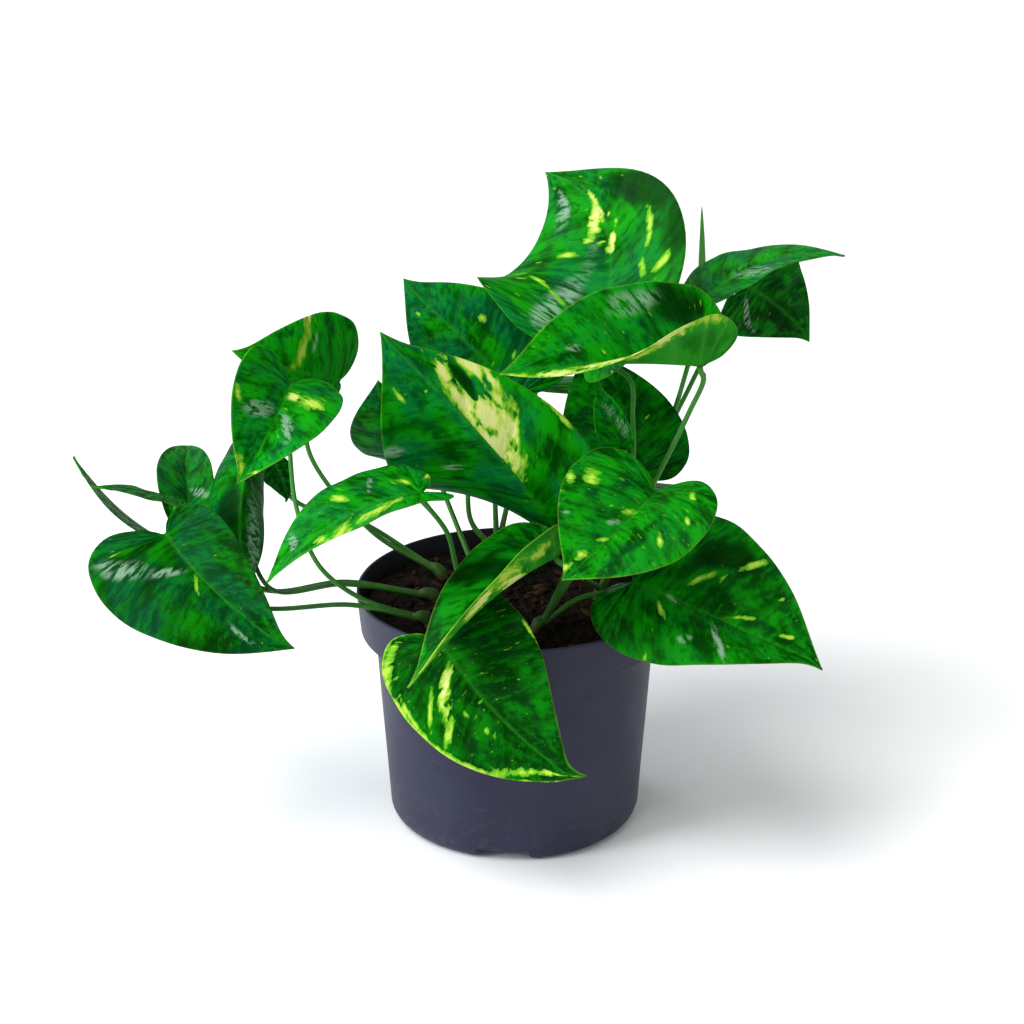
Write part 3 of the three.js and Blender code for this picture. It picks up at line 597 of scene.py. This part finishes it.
def soil_material():
    """Damp potting soil: near black, with browner lumps and chips."""
    peat = Shader("potting_soil", SOIL_DARK)
    place = peat.place()
    lumps = peat.spots(place, 420, 5, 0.7)
    peat.tint(SOIL_BROWN, lumps, 0.38, 0.68)
    peat.tint(SOIL_PATCH, peat.spots(place, 60), 0.45, 0.65, 0.45)
    peat.lay(SOIL_CHIP, peat.value("bit"))
    peat.bump(lumps, 0.8, 0.0012)
    return peat.finish(peat.plus(0.72, lumps, 0.25), 0.08)


def stalk_material():
    """Green stalks with faint streaks, painted shade low in the pot and painted light above it, and brown
    dry sheaths.
    """
    stalk = Shader("stalk_green", STALK_DEEP)
    place = stalk.place()
    height = stalk.part(place, "Z")
    streak = stalk.spots(stalk.stretched(stalk.flow(), (9, 26, 1)), 1, 3)
    stalk.tint(STALK_FRESH, streak, 0.35, 0.7)
    stalk.lay(STALK_PALE, stalk.value("pale"), 0.75)
    stalk.tint(STALK_CLOUD, stalk.spots(place, 45), 0.35, 0.7, 0.5)
    # Painted light and shade: paler higher up, where light falls, and darker low in the pot, in its shade
    stalk.tint(STALK_LIT_HIGH, height, 0.1, 0.135, 0.6)
    stalk.tint(STALK_SHADED_LOW, height, 0.107, 0.09, 0.6)
    stalk.lay(STALK_DRY, stalk.value("dry"))
    stalk.bump(streak, 0.25, 0.0003)
    return stalk.finish(stalk.plus(0.36, streak, 0.16), 0.15)


def leaf_material(name, leaf, seed):
    """A variegated blade: streaked green, its marks, painted sheen, shade and sky reflection, paler below,
    and yellow along the margin.
    """
    tone = leaf["tone"]
    deep = (0.0003, 0.022 + 0.035 * tone, 0.0003)
    fresh = (0.001 + 0.004 * tone, 0.11 + 0.2 * tone, 0.0005 + 0.002 * tone)
    teal = (0.001, 0.05 + 0.09 * tone, 0.02 + 0.02 * tone)
    skin = Shader(name, deep)
    flow = skin.flow()

    def grain(across, along, layer, detail, rough=0.5):
        """Noise that changes about so often over the half width and over the run."""
        return skin.spots(skin.stretched(flow, (across, along, 1), (seed, layer, 0)), 1, detail, rough)

    def swing(value, size):
        """How far a noise is from its middle, times a size."""
        return skin.times(skin.plus(value, -0.5), size)

    cloud = grain(2.5, 8, 0, 3)
    fibre = grain(5, 62, 3, 3, 0.6)
    stripe = grain(2.4, 25, 43, 3, 0.55)
    vein = skin.value("vein")
    under = skin.value("under")
    skin.tint(fresh, cloud, 0.47 - 0.16 * tone, 0.7 - 0.22 * tone)
    # Painted reflection: a blue-green tint, in random patches as strong as the cool share, stands for the
    # bluish sky that the blade reflects
    skin.tint(teal, grain(2, 6, 31, 2), 0.4, 0.6, leaf["cool"])
    for lines, strength in ((stripe, 0.5), (fibre, 0.6)):
        skin.tint(fresh, lines, 0.5, 0.66, 0.5)
        skin.tint(deep, lines, 0.5, 0.34, strength)
    skin.lay(deep, vein, 0.5)
    # Painted shade: the shade marks, softened by the cloud, darken the blade where it lies in shadow; on
    # cream_patch the mark is a dark green strip, which also keeps the cream out
    shade = skin.plus(skin.patches(flow, leaf["shade"]), swing(cloud, 1.2))
    skin.tint(SHADE, shade, 1.4, 0.6, 0.85)

    # The side below, then the painted sheen (a painted highlight), streaks and specks that only the upper
    # side shows
    below = skin.mix(skin.ramp(cloud, 0.4, 0.6), UNDER_DARK, UNDER_LIGHT)
    below = skin.mix(0.7, skin.colour, below)
    below = skin.mix(skin.times(vein, 0.5), below, UNDER_VEIN)
    sheen = skin.ramp(skin.plus(skin.patches(flow, leaf["sheen"]), swing(cloud, 1.2)), 1.2, 0.45)
    skin.lay(PAINTED_SHEEN, skin.times(sheen, skin.ramp(fibre, 0.4, 0.58)), 0.8)
    region = skin.ramp(grain(2, 5, 7, 1), 0.45, 0.62)
    streak = skin.plus(grain(3.5, 44, 11, 2), region, leaf["streaks"] * 0.16)
    skin.tint(LIME, streak, 0.72, 0.78)
    skin.tint(YELLOW, streak, 0.77, 0.84)
    speck = skin.plus(grain(10, 85, 19, 1, 0.4), leaf["spots"] * 0.12)
    skin.tint(LIME, speck, 0.78, 0.86, 0.6)
    skin.lay(below, under)

    # Lime and cream marks with ragged ends; cream that lies only right of the midrib stops there
    ragged = skin.plus(swing(fibre, 2.2), swing(stripe, 2.6))
    near = skin.plus(skin.patches(flow, leaf["lime"]), ragged)
    skin.tint(LIME, near, 1.15, 0.75)
    skin.tint(YELLOW, near, 0.65, 0.2)
    near = skin.plus(skin.patches(flow, leaf["cream"]), ragged, 0.7)
    if leaf["cream"] and min(mark[0] for mark in leaf["cream"]) > 0:
        near = skin.plus(near, skin.ramp(skin.part(flow, "X"), 0.03, 0), 2)
    near = skin.plus(near, skin.ramp(shade, 1.25, 0.8), 1.5)
    near = skin.plus(near, skin.ramp(grain(5, 34, 53, 2), 0.52, 0.64), 0.5)
    skin.tint(LIME, near, 1.3, 1)
    skin.tint(YELLOW, near, 1.1, 0.7)
    skin.tint(CREAM, near, 0.9, 0.35)

    margin = skin.plus(skin.value("inset"), skin.times(grain(1, 14, 23, 2), 2.2), -leaf["edge"])
    skin.tint(YELLOW, margin, 0.35, -0.35, min(1, leaf["edge"] * 1.6))
    skin.lay(MIDRIB, skin.value("rib"), 0.35)
    skin.bump(skin.plus(skin.times(fibre, 0.5), vein, -0.6), 0.6, 0.001)
    return skin.finish(skin.plus(skin.plus(0.36, cloud, 0.16), under, 0.25), 0.02)


# Pot


def foot_arc(radius, rounding, floor):
    """The rounded edge of the pot's foot, from the floor up."""
    arc = []
    for step in range(FOOT_STEPS + 1):
        angle = step / FOOT_STEPS * pi / 2
        out = radius - rounding + rounding * sin(angle)
        arc.append((out, floor + rounding * (1 - cos(angle))))
    return arc


def around(radius, height, steps):
    return [(radius + out, height + up) for out, up in steps]


def pot_profile():
    """The pot's section from the axis under the floor, up the outside, over the lip and down the inside."""
    outside = [
        (0, 0),
        *foot_arc(BODY_FOOT_RADIUS, FOOT_ROUNDING, 0),
        *BODY_SIDE,
        *around(BODY_TOP_RADIUS, COLLAR_FOOT, SHOULDER),
        *around(COLLAR_FOOT_RADIUS, COLLAR_FOOT, COLLAR_EDGE),
        *around(RIM_RADIUS, POT_HEIGHT, LIP),
    ]
    inside = [
        *around(RIM_RADIUS - POT_WALL, POT_HEIGHT, LIP_INSIDE),
        (COLLAR_FOOT_RADIUS - POT_WALL, COLLAR_FOOT + POT_WALL),
        (BODY_TOP_RADIUS - POT_WALL, COLLAR_FOOT - SHOULDER_DROP),
        *reversed(foot_arc(BODY_FOOT_RADIUS - POT_WALL, FOOT_ROUNDING - POT_WALL, POT_WALL)),
        (0, POT_WALL),
    ]
    return outside, inside


def add_prism(places, faces, near, far):
    """A closed prism between two rings of as many places."""
    sides, ends = tube_faces(len(places), len(near), 2)
    places += near + far
    faces += ends + sides


def notch_blocks(foot_width, top_width, low, high, inner, outer):
    """Prisms that stand round the pot's foot, one for each notch."""
    places, faces = [], []
    section = [(-foot_width / 2, low), (foot_width / 2, low), (top_width / 2, high), (-top_width / 2, high)]
    for turn in turns(NOTCH_COUNT):
        sine, cosine = sin(NOTCH_TURN + turn), cos(NOTCH_TURN + turn)
        near, far = (
            [(x * cosine + reach * sine, x * sine - reach * cosine, z) for x, z in section]
            for reach in (inner, outer)
        )
        add_prism(places, faces, near, far)
    return places, faces


def drain_pins(low, high):
    """Upright round pins where the drain holes are."""
    places, faces = [], []
    reach = NOTCH_REACH + DRAIN_RADIUS + DRAIN_INSET
    for turn in turns(NOTCH_COUNT):
        x, y = reach * sin(NOTCH_TURN + turn), -reach * cos(NOTCH_TURN + turn)
        ring = [(x + DRAIN_RADIUS * cos(a), y + DRAIN_RADIUS * sin(a)) for a in turns(DRAIN_SIDES)]
        add_prism(places, faces, [(*spot, low) for spot in ring], [(*spot, high) for spot in ring])
    return places, faces


def combine(piece, other, operation):
    """Adds, keeps or cuts another piece, and drops that piece."""
    change = piece.modifiers.new("combine", "BOOLEAN")
    change.operation = operation
    change.solver = "EXACT"
    change.object = other
    bpy.context.view_layer.objects.active = piece
    bpy.ops.object.modifier_apply(modifier=change.name)
    bpy.data.objects.remove(other)


def build_pot():
    material = pot_material()
    outside, inside = pot_profile()
    pot = make_piece("pot_moulded", *lathe(outside + inside, POT_SEGMENTS), material)
    edit(pot, outward)
    filled = make_piece("pot_filled", *lathe(outside + [(0, POT_HEIGHT)], POT_SEGMENTS), material)
    width = NOTCH_FOOT_WIDTH + 2 * POT_WALL
    top, inner = NOTCH_HEIGHT + POT_WALL, NOTCH_REACH - POT_WALL
    block = notch_blocks(width, width, 0, top, inner, BODY_FOOT_RADIUS)
    blocks = make_piece("floor_blocks", *block, material)
    edit(blocks, outward)
    combine(blocks, filled, "INTERSECT")
    combine(pot, blocks, "UNION")
    notch = notch_blocks(NOTCH_FOOT_WIDTH, NOTCH_TOP_WIDTH, -1, NOTCH_HEIGHT, NOTCH_REACH, RIM_RADIUS)
    for cutter in (notch, drain_pins(NOTCH_HEIGHT - 2, NOTCH_HEIGHT + 3)):
        combine(pot, make_piece("cutter", *cutter, material), "DIFFERENCE")
    edit(pot, sharpen)
    fit(pot, "pot")


# Soil


def soil_height(x, y):
    """The crown of the soil with its swells, and lumps on top of them."""
    share = hypot(x, y) / (COLLAR_FOOT_RADIUS - POT_WALL - CLEARANCE)
    height = SOIL_EDGE + (SOIL_CROWN - SOIL_EDGE) * (1 - share * share)
    coarse = sin(x * 0.31 + 1.3) * cos(y * 0.27 - 0.4)
    fine = sin(x * 0.83 - y * 0.55) * cos(x * 0.47 + y * 0.91)
    height += SOIL_RELIEF * (coarse + 0.7 * fine) * min(1, 4 * (1 - share))
    for lift, pitch, layer in LUMPS:
        height += lift * noise.noise(Vector((x * pitch, y * pitch, layer)))
    return height


def soil_body():
    """The turned lower body and a crumbly top."""
    gap = POT_WALL + CLEARANCE
    edge = COLLAR_FOOT_RADIUS - gap
    floor = gap + NOTCH_HEIGHT + POT_WALL
    profile = [
        (0, floor),
        (BODY_FOOT_RADIUS - gap - FOOT_ROUNDING, floor),
        (BODY_FOOT_RADIUS - gap, floor + 1),
        (BODY_TOP_RADIUS - gap, COLLAR_FOOT - SHOULDER_DROP),
        (edge - CLEARANCE, COLLAR_FOOT + gap + CLEARANCE),
        (edge, SOIL_EDGE - SOIL_LIP),
    ]
    profile += [(edge * (1 - step / SOIL_RINGS), SOIL_EDGE) for step in range(SOIL_RINGS)] + [(0, SOIL_EDGE)]
    places, faces = lathe(profile, SOIL_SEGMENTS)
    return [(x, y, soil_height(x, y) if z == SOIL_EDGE else z) for x, y, z in places], faces


def crumb(dice, places, faces, x, y, size, stretch):
    """A small rough lump or chip that lies on the soil."""
    shape = bmesh.new()
    bmesh.ops.create_icosphere(shape, subdivisions=1, radius=1)
    turn = dice.uniform(0, pi)
    base = soil_height(x, y)
    start = len(places)
    for vertex in shape.verts:
        rough = 1 + 0.35 * noise.noise(vertex.co * 1.7 + Vector((x, y, size)))
        along = vertex.co.x * size * stretch * rough
        across = vertex.co.y * size * rough
        places.append((
            x + along * cos(turn) - across * sin(turn),
            y + along * sin(turn) + across * cos(turn),
            base + 0.25 * size + vertex.co.z * size * 0.7 * rough,
        ))
    faces += [[start + corner.index for corner in face.verts] for face in shape.faces]
    shape.free()


def build_soil():
    dice = random.Random(7)
    places, faces = soil_body()
    bits = [0] * len(places)
    for _ in range(CRUMB_COUNT):
        angle, radius = dice.uniform(0, 2 * pi), CRUMB_REACH * sqrt(dice.random())
        size = dice.choice(CRUMB_SIZES)
        chip = dice.random() < CHIP_SHARE
        tone = dice.uniform(0.3, 1) if chip else dice.uniform(0, 0.25)
        stretch = dice.uniform(1.8, 3.2) if chip else dice.uniform(0.9, 1.4)
        crumb(dice, places, faces, radius * cos(angle), radius * sin(angle), size, stretch)
        bits += [tone] * (len(places) - len(bits))
    soil = make_piece("soil_crumbly", places, faces, soil_material(), values={"bit": bits})
    edit(soil, outward)
    fit(soil, "soil")


# Blades


def bend(angle):
    """The angle, or the least one that an arc can be drawn with."""
    return angle if abs(angle) >= LEAST_BEND else LEAST_BEND


def smooth(value, low, high):
    part = min(max((value - low) / (high - low), 0), 1)
    return part * part * (3 - 2 * part)


def arc_point(length, angle, share):
    """A point on an arc that spans a chord of this length and turns by this angle in all."""
    radius = length / (2 * sin(angle / 2))
    turn = angle * (share - 0.5)
    reach = radius * (sin(turn) + sin(angle / 2))
    rise = radius * (cos(turn) - cos(angle / 2))
    return reach, rise, turn


class Blade:
    """A blade's axes, and where each point of it lies."""

    def __init__(self, leaf):
        self.leaf = leaf
        self.base = Vector(leaf["base"])
        self.ahead = Vector(leaf["tip"]) - self.base
        self.length = self.ahead.length
        self.ahead.normalize()
        face = Vector(leaf["face"])
        self.face = (face - self.ahead * face.dot(self.ahead)).normalized()
        self.side = self.ahead.cross(self.face)

    def half(self, across):
        return self.leaf["half"][across >= 0]

    def place(self, along, across, lift=0.0):
        """A point at a share of the length and a distance from the midrib, lifted off the sheet."""
        leaf = self.leaf
        which = int(across >= 0)
        half = self.half(across)
        sign = (across > 0) - (across < 0)
        fold = leaf["fold"][which] + leaf["twist"][which] * (0.5 - along)
        rate = bend(leaf["curl"][which]) / half
        distance = abs(across)
        out = sign * (sin(fold + rate * distance) - sin(fold)) / rate
        rise = (cos(fold) - cos(fold + rate * distance)) / rate
        tail = max(0, (along - TAIL_START) / (1 - TAIL_START)) ** 2
        reach, sideways, turn = arc_point(self.length, bend(leaf["sweep"]), along + TAIL_STRETCH * tail)
        forward = reach + out * sin(turn)
        sideways += out * cos(turn)
        bow_reach, bow_rise, bow_turn = arc_point(self.length, bend(leaf["bow"]), forward / self.length)
        up = self.face * cos(bow_turn) + self.ahead * sin(bow_turn)
        share = distance / half
        shift = RIPPLE_SHIFT * which
        ripple = leaf["wave"] * share * share * sin(RIPPLE_PITCH * along + shift)
        flutter = FLUTTER_SHARE * leaf["wave"] * share ** 4 * sin(FLUTTER_PITCH * along + shift)
        hooked = leaf["hook"] * max(0, (along - HOOK_START) / (1 - HOOK_START)) ** 2
        sideways += leaf["tail"] * tail
        return (
            self.base + self.ahead * bow_reach + self.face * bow_rise + self.side * sideways
            + up * (rise + ripple + flutter + hooked + lift)
        )


def outline_point(run):
    """Half width share, length share and vein start at a share of the outline's run."""
    index = min(int(run * VEINS), VEINS - 1)
    part = run * VEINS - index
    before, first, second, after = (OUTLINE[min(max(index + k, 0), VEINS)] for k in (-1, 0, 1, 2))
    side, along, rib = (
        b + 0.5 * part * (c - a + part * (2 * a - 5 * b + 4 * c - d + part * (3 * (b - c) + d - a)))
        for a, b, c, d in zip(before, first, second, after)
    )
    return max(side, 0), along, max(rib, 0)


def blade_point(blade, along, across, share, run):
    """A point of the middle sheet, with the thickness there and what the material reads."""
    inset = blade.half(across) * outline_point(run)[0] * (1 - share)
    vein = abs(cos(pi * run * VEINS)) ** VEIN_SHARPNESS
    vein *= smooth(share, 0, 0.08) * (1 - smooth(share, 0.8, 1))
    return {
        "place": blade.place(along, across, -VEIN_DEPTH * vein),
        "uv": (copysign(share, across) if across else 0, run),
        "vein": vein,
        "rib": exp(-((across / (0.9 - 0.5 * along)) ** 2)),
        "groove": exp(-((across / 1.1) ** 2)) * (1 - 0.75 * min(max(along, 0), 1)),
        "inset": inset,
        "thickness": MARGIN_THICKNESS + (BLADE_THICKNESS - MARGIN_THICKNESS) * (1 - smooth(share, 0.1, 1)),
    }


def blade_sheet(blade):
    """The middle sheet of a blade: its points, its faces and its rims."""
    rows = ROWS_PER_VEIN * VEINS
    points = []

    def add(*where):
        points.append(blade_point(blade, *where))
        return len(points) - 1

    notch = add(0, 0, 0, 0)
    tip = add(1, 0, 0, 1)
    rib = []
    for row in range(1, rows):
        start = outline_point(row / rows)[2]
        rib.append(add(start, 0, 0, row / rows) if start > 0.001 else notch)
    faces, rims = [], []
    for sign in (1, -1):
        grid = []
        for row in range(1, rows):
            run = row / rows
            side, along, start = outline_point(run)
            line = [rib[row - 1]]
            for share in COLUMNS[1:]:
                reach = start + (along - start) * share ** VEIN_ARCH
                line.append(add(reach, sign * blade.half(sign) * side * share, share, run))
            grid.append(line)
        for low, high in zip(grid, grid[1:]):
            for column in range(len(COLUMNS) - 1):
                add_face(faces, [low[column], low[column + 1], high[column + 1], high[column]], sign)
        for column in range(len(COLUMNS) - 1):
            add_face(faces, [notch, grid[0][column + 1], grid[0][column]], sign)
            add_face(faces, [grid[-1][column], grid[-1][column + 1], tip], sign)
        margin = [notch] + [line[-1] for line in grid] + [tip]
        rims.append(margin[::sign])
    return points, faces, rims


def build_blade(name, leaf, seed):
    """A closed blade with a sunk midrib above and a raised one below."""
    points, faces, rims = blade_sheet(Blade(leaf))
    normals = [Vector() for _ in points]
    for face in faces:
        corners = [points[index]["place"] for index in face]
        area = (corners[1] - corners[0]).cross(corners[2] - corners[0])
        if len(corners) == 4:
            area += (corners[2] - corners[0]).cross(corners[3] - corners[0])
        for index in face:
            normals[index] += area
    places = []
    for way, relief in ((1, -RIB_GROOVE), (-1, -RIB_RISE)):
        for point, normal in zip(points, normals):
            shift = way * point["thickness"] / 2 + relief * point["groove"]
            places.append(point["place"] + normal.normalized() * shift)
    count = len(points)
    uvs = [point["uv"] for point in points] * 2
    values = {key: [point[key] for point in points] * 2 for key in ("vein", "rib", "inset")}
    values["under"] = [0] * count + [1] * count
    closed = list(faces) + [[count + index for index in reversed(face)] for face in faces]
    for rim in rims:
        for first, second in zip(rim, rim[1:]):
            closed.append([first, count + first, count + second, second])
    skin = leaf_material(name + "_skin", leaf, seed)
    fit(make_piece(name + "_blade", places, closed, skin, uvs, values), name)


# Stalks


def smooth_route(points, step):
    """A centripetal spline through the points, at even steps."""
    line = [points[0] * 2 - points[1], *points, points[-1] * 2 - points[-2]]
    dense = []
    for index in range(1, len(line) - 2):
        a, b, c, d = line[index - 1:index + 3]
        before, middle, after = (max((q - p).length ** 0.5, 1e-4) for p, q in ((a, b), (b, c), (c, d)))
        start = ((b - a) / before - (c - a) / (before + middle) + (c - b) / middle) * middle
        end = ((c - b) / middle - (d - b) / (middle + after) + (d - c) / after) * middle
        for part in range(SPLINE_STEPS):
            t = part / SPLINE_STEPS
            dense.append(
                b * (2 * t ** 3 - 3 * t ** 2 + 1) + start * (t ** 3 - 2 * t ** 2 + t)
                + c * (3 * t ** 2 - 2 * t ** 3) + end * (t ** 3 - t ** 2)
            )
    dense.append(points[-1])
    reach = [0.0]
    for p, q in zip(dense, dense[1:]):
        reach.append(reach[-1] + (q - p).length)
    count = max(6, round(reach[-1] / step))
    even, at = [], 0
    for index in range(count + 1):
        wanted = reach[-1] * index / count
        while at < len(reach) - 2 and reach[at + 1] < wanted:
            at += 1
        part = (wanted - reach[at]) / max(reach[at + 1] - reach[at], 1e-6)
        even.append(dense[at].lerp(dense[at + 1], part))
    return even, reach[-1]


class Bundle:
    """Several swept bodies that grow together, gathered into one mesh."""

    def __init__(self):
        self.places, self.faces, self.uvs = [], [], []
        self.values = {"pale": [], "dry": []}

    def sweep(self, route, radius_at, pale_at, dry_at, sides=12):
        """A rounded tube along a route; the calls give its radius and tints at a share of the way."""
        start = len(self.places)
        aside = (route[1] - route[0]).normalized().orthogonal().normalized()
        total = 0.0
        for index, centre in enumerate(route):
            after = route[min(index + 1, len(route) - 1)]
            before = route[max(index - 1, 0)]
            tangent = (after - before).normalized()
            aside = (aside - tangent * aside.dot(tangent)).normalized()
            up = tangent.cross(aside)
            if index:
                total += (centre - route[index - 1]).length
            share = index / (len(route) - 1)
            for side, angle in enumerate(turns(sides)):
                spoke = aside * cos(angle) + up * sin(angle)
                self.places.append(centre + spoke * radius_at(share, angle))
                self.uvs.append((side / sides, total * FLOW_PER_MM))
            self.values["pale"] += [pale_at(share)] * sides
            self.values["dry"] += [dry_at(share)] * sides
        tube, ends = tube_faces(start, sides, len(route))
        self.faces += tube + ends


def stalk_route(stem, leaf):
    """The way of a stalk from its stem to the underside of its blade, as in the solids."""
    foot, top = stem
    blade = Blade(leaf)
    notch = blade.place(0, 0)
    forward = (blade.place(0.03, 0) - notch).normalized()
    right = (blade.place(0.03, 2) - blade.place(0.03, -2)).normalized()
    normal = right.cross(forward)
    lifts = [leaf["fold"][which] + leaf["twist"][which] / 2 for which in (0, 1)]
    droop = max(0, -sum(lifts) / 2)
    drop = (BLADE_THICKNESS / 2 + STALK_GAP) / cos(droop) + PETIOLE_RADIUS * tan(droop)
    end = notch - normal * drop + forward * PETIOLE_RADIUS * STALK_SEAT
    knee = end - normal * KNEE_LENGTH - forward * KNEE_LENGTH * KNEE_SETBACK
    start = Vector(top).lerp(Vector((*foot, SOIL_CROWN)), 0.5)
    return [start, *(Vector(place) for place in leaf["via"]), knee, end - normal * STALK_TIP_LENGTH, end]


def add_stalk(bundle, stem, leaf):
    """A stalk that flares at its foot, swells at its knee and has a groove along its upper side."""
    route, length = smooth_route(stalk_route(stem, leaf), STALK_STEP)

    def radius(share, angle):
        from_foot, from_end = share * length, (1 - share) * length
        flare = 0.55 * exp(-from_foot / 9)
        swell = 0.16 * exp(-(((from_end - 3) / 3.5) ** 2))
        groove = 0.16 * max(0, cos(angle)) ** 6 * smooth(from_end, 4, 10)
        return PETIOLE_RADIUS * (0.84 + flare + swell - groove)

    def pale(share):
        from_foot, from_end = share * length, (1 - share) * length
        return max(0.9 * exp(-from_foot / 16), 0.55 * exp(-from_end / 6))

    bundle.sweep(route, radius, pale, lambda share: 0.35 * exp(-share * length / 5))


def add_stub(bundle, stem):
    """The short stem above the soil: ringed where stalks leave it, and closed by a dry sheath."""
    foot, top = stem
    low = Vector((*foot, STEM_FLOOR))
    crown = Vector((*foot, SOIL_CROWN + 1))
    route, length = smooth_route([low, crown, Vector(top)], STEM_STEP)

    def radius(share, angle):
        height = share * length
        ring = 0.3 * exp(-(((height - 21) / 0.9) ** 2))
        ring += 0.25 * exp(-(((height - 26) / 0.8) ** 2))
        closing = sqrt(max(0.02, 1 - smooth(share, 0.86, 1)))
        return (STEM_RADIUS * 0.94 + ring) * closing

    def dry(share):
        return 0.25 + 0.6 * (1 - smooth(share, 0.6, 0.85))

    bundle.sweep(route, radius, lambda share: 0.4, dry, 16)


def add_spear(bundle):
    """The newest leaf, rolled up, with its seam winding round it."""
    foot, tip = Vector(SPEAR_FOOT), Vector(SPEAR_TIP)
    route = [foot.lerp(tip, step / SPEAR_STEPS) for step in range(SPEAR_STEPS + 1)]

    def radius(share, angle):
        for (r0, s0), (r1, s1) in zip(SPEAR_RADII, SPEAR_RADII[1:]):
            if share <= s1:
                plain = r0 + (r1 - r0) * (share - s0) / (s1 - s0)
                break
        seam = (angle / (2 * pi) + 0.9 * share) % 1
        return max(0.12, plain * (0.86 + 0.16 * seam))

    bundle.sweep(route, radius, lambda share: 0.35 + 0.4 * (1 - share), lambda share: 0, 20)


def build_stems():
    material = stalk_material()
    for name, stem in STEMS.items():
        bundle = Bundle()
        add_stub(bundle, stem)
        for leaf in LEAVES.values():
            if leaf["stem"] == name:
                add_stalk(bundle, stem, leaf)
        if name == SPEAR_STEM:
            add_spear(bundle)
        mesh = (bundle.places, bundle.faces, material, bundle.uvs, bundle.values)
        fit(make_piece(f"stem_{name}_stalks", *mesh), "stem_" + name)


# Studio


def hang(name, data, place, turn):
    """Puts a light or the camera into the scene."""
    holder = bpy.data.objects.new(name, data)
    holder.location = place
    holder.rotation_euler = turn
    bpy.context.scene.collection.objects.link(holder)
    return holder


def add_light(name, kind, place, target, energy, color, **settings):
    """A light that shines from a place towards a target."""
    lamp = bpy.data.lights.new(name, kind)
    lamp.energy = energy
    lamp.color = color
    for key, value in settings.items():
        setattr(lamp, key, value)
    hang(name, lamp, place, (Vector(target) - Vector(place)).to_track_quat("-Z", "Y").to_euler())


def build_studio():
    world = bpy.data.worlds.new("studio")
    world.use_nodes = True
    background = world.node_tree.nodes["Background"].inputs
    background["Color"].default_value = (*SKY, 1)
    background["Strength"].default_value = SKY_STRENGTH
    bpy.context.scene.world = world
    add_light("soft_sun", "SUN", (0, 0, 0), (0.42, 0.38, -1), 2.1, SUNLIGHT, angle=radians(35))
    behind, aside = (-0.75, 0.75, 0.85), (-1, -0.5, 0.5)
    add_light("back_softbox", "AREA", behind, (-0.03, 0, 0.12), 4, BACK_LIGHT, shape="DISK", size=0.6)
    add_light("left_softbox", "AREA", aside, (0, 0, 0.1), 12, LEFT_LIGHT, shape="DISK", size=0.5)

    paper = Shader("studio_floor", FLOOR_DARK)
    paper.lay(FLOOR_LIGHT, paper.spots(paper.place(), 3))
    corners = [(x * FLOOR_REACH, y * FLOOR_REACH, 0) for x, y in ((-1, -1), (1, -1), (1, 1), (-1, 1))]
    make_piece("studio_floor", corners, [[0, 1, 2, 3]], paper.finish(0.9, 0.1))

    camera = bpy.data.cameras.new("camera")
    camera.lens = 85
    camera.sensor_width = 36
    camera.clip_end = 50
    bpy.context.scene.camera = hang("camera", camera, CAMERA_PLACE, (radians(90 - CAMERA_TILT), 0, 0))
    bpy.context.scene.view_settings.view_transform = "Standard"


build_pot()
build_soil()
build_stems()
for order, (name, leaf) in enumerate(LEAVES.items()):
    build_blade(name, leaf, order * SEED_STEP)
build_studio()
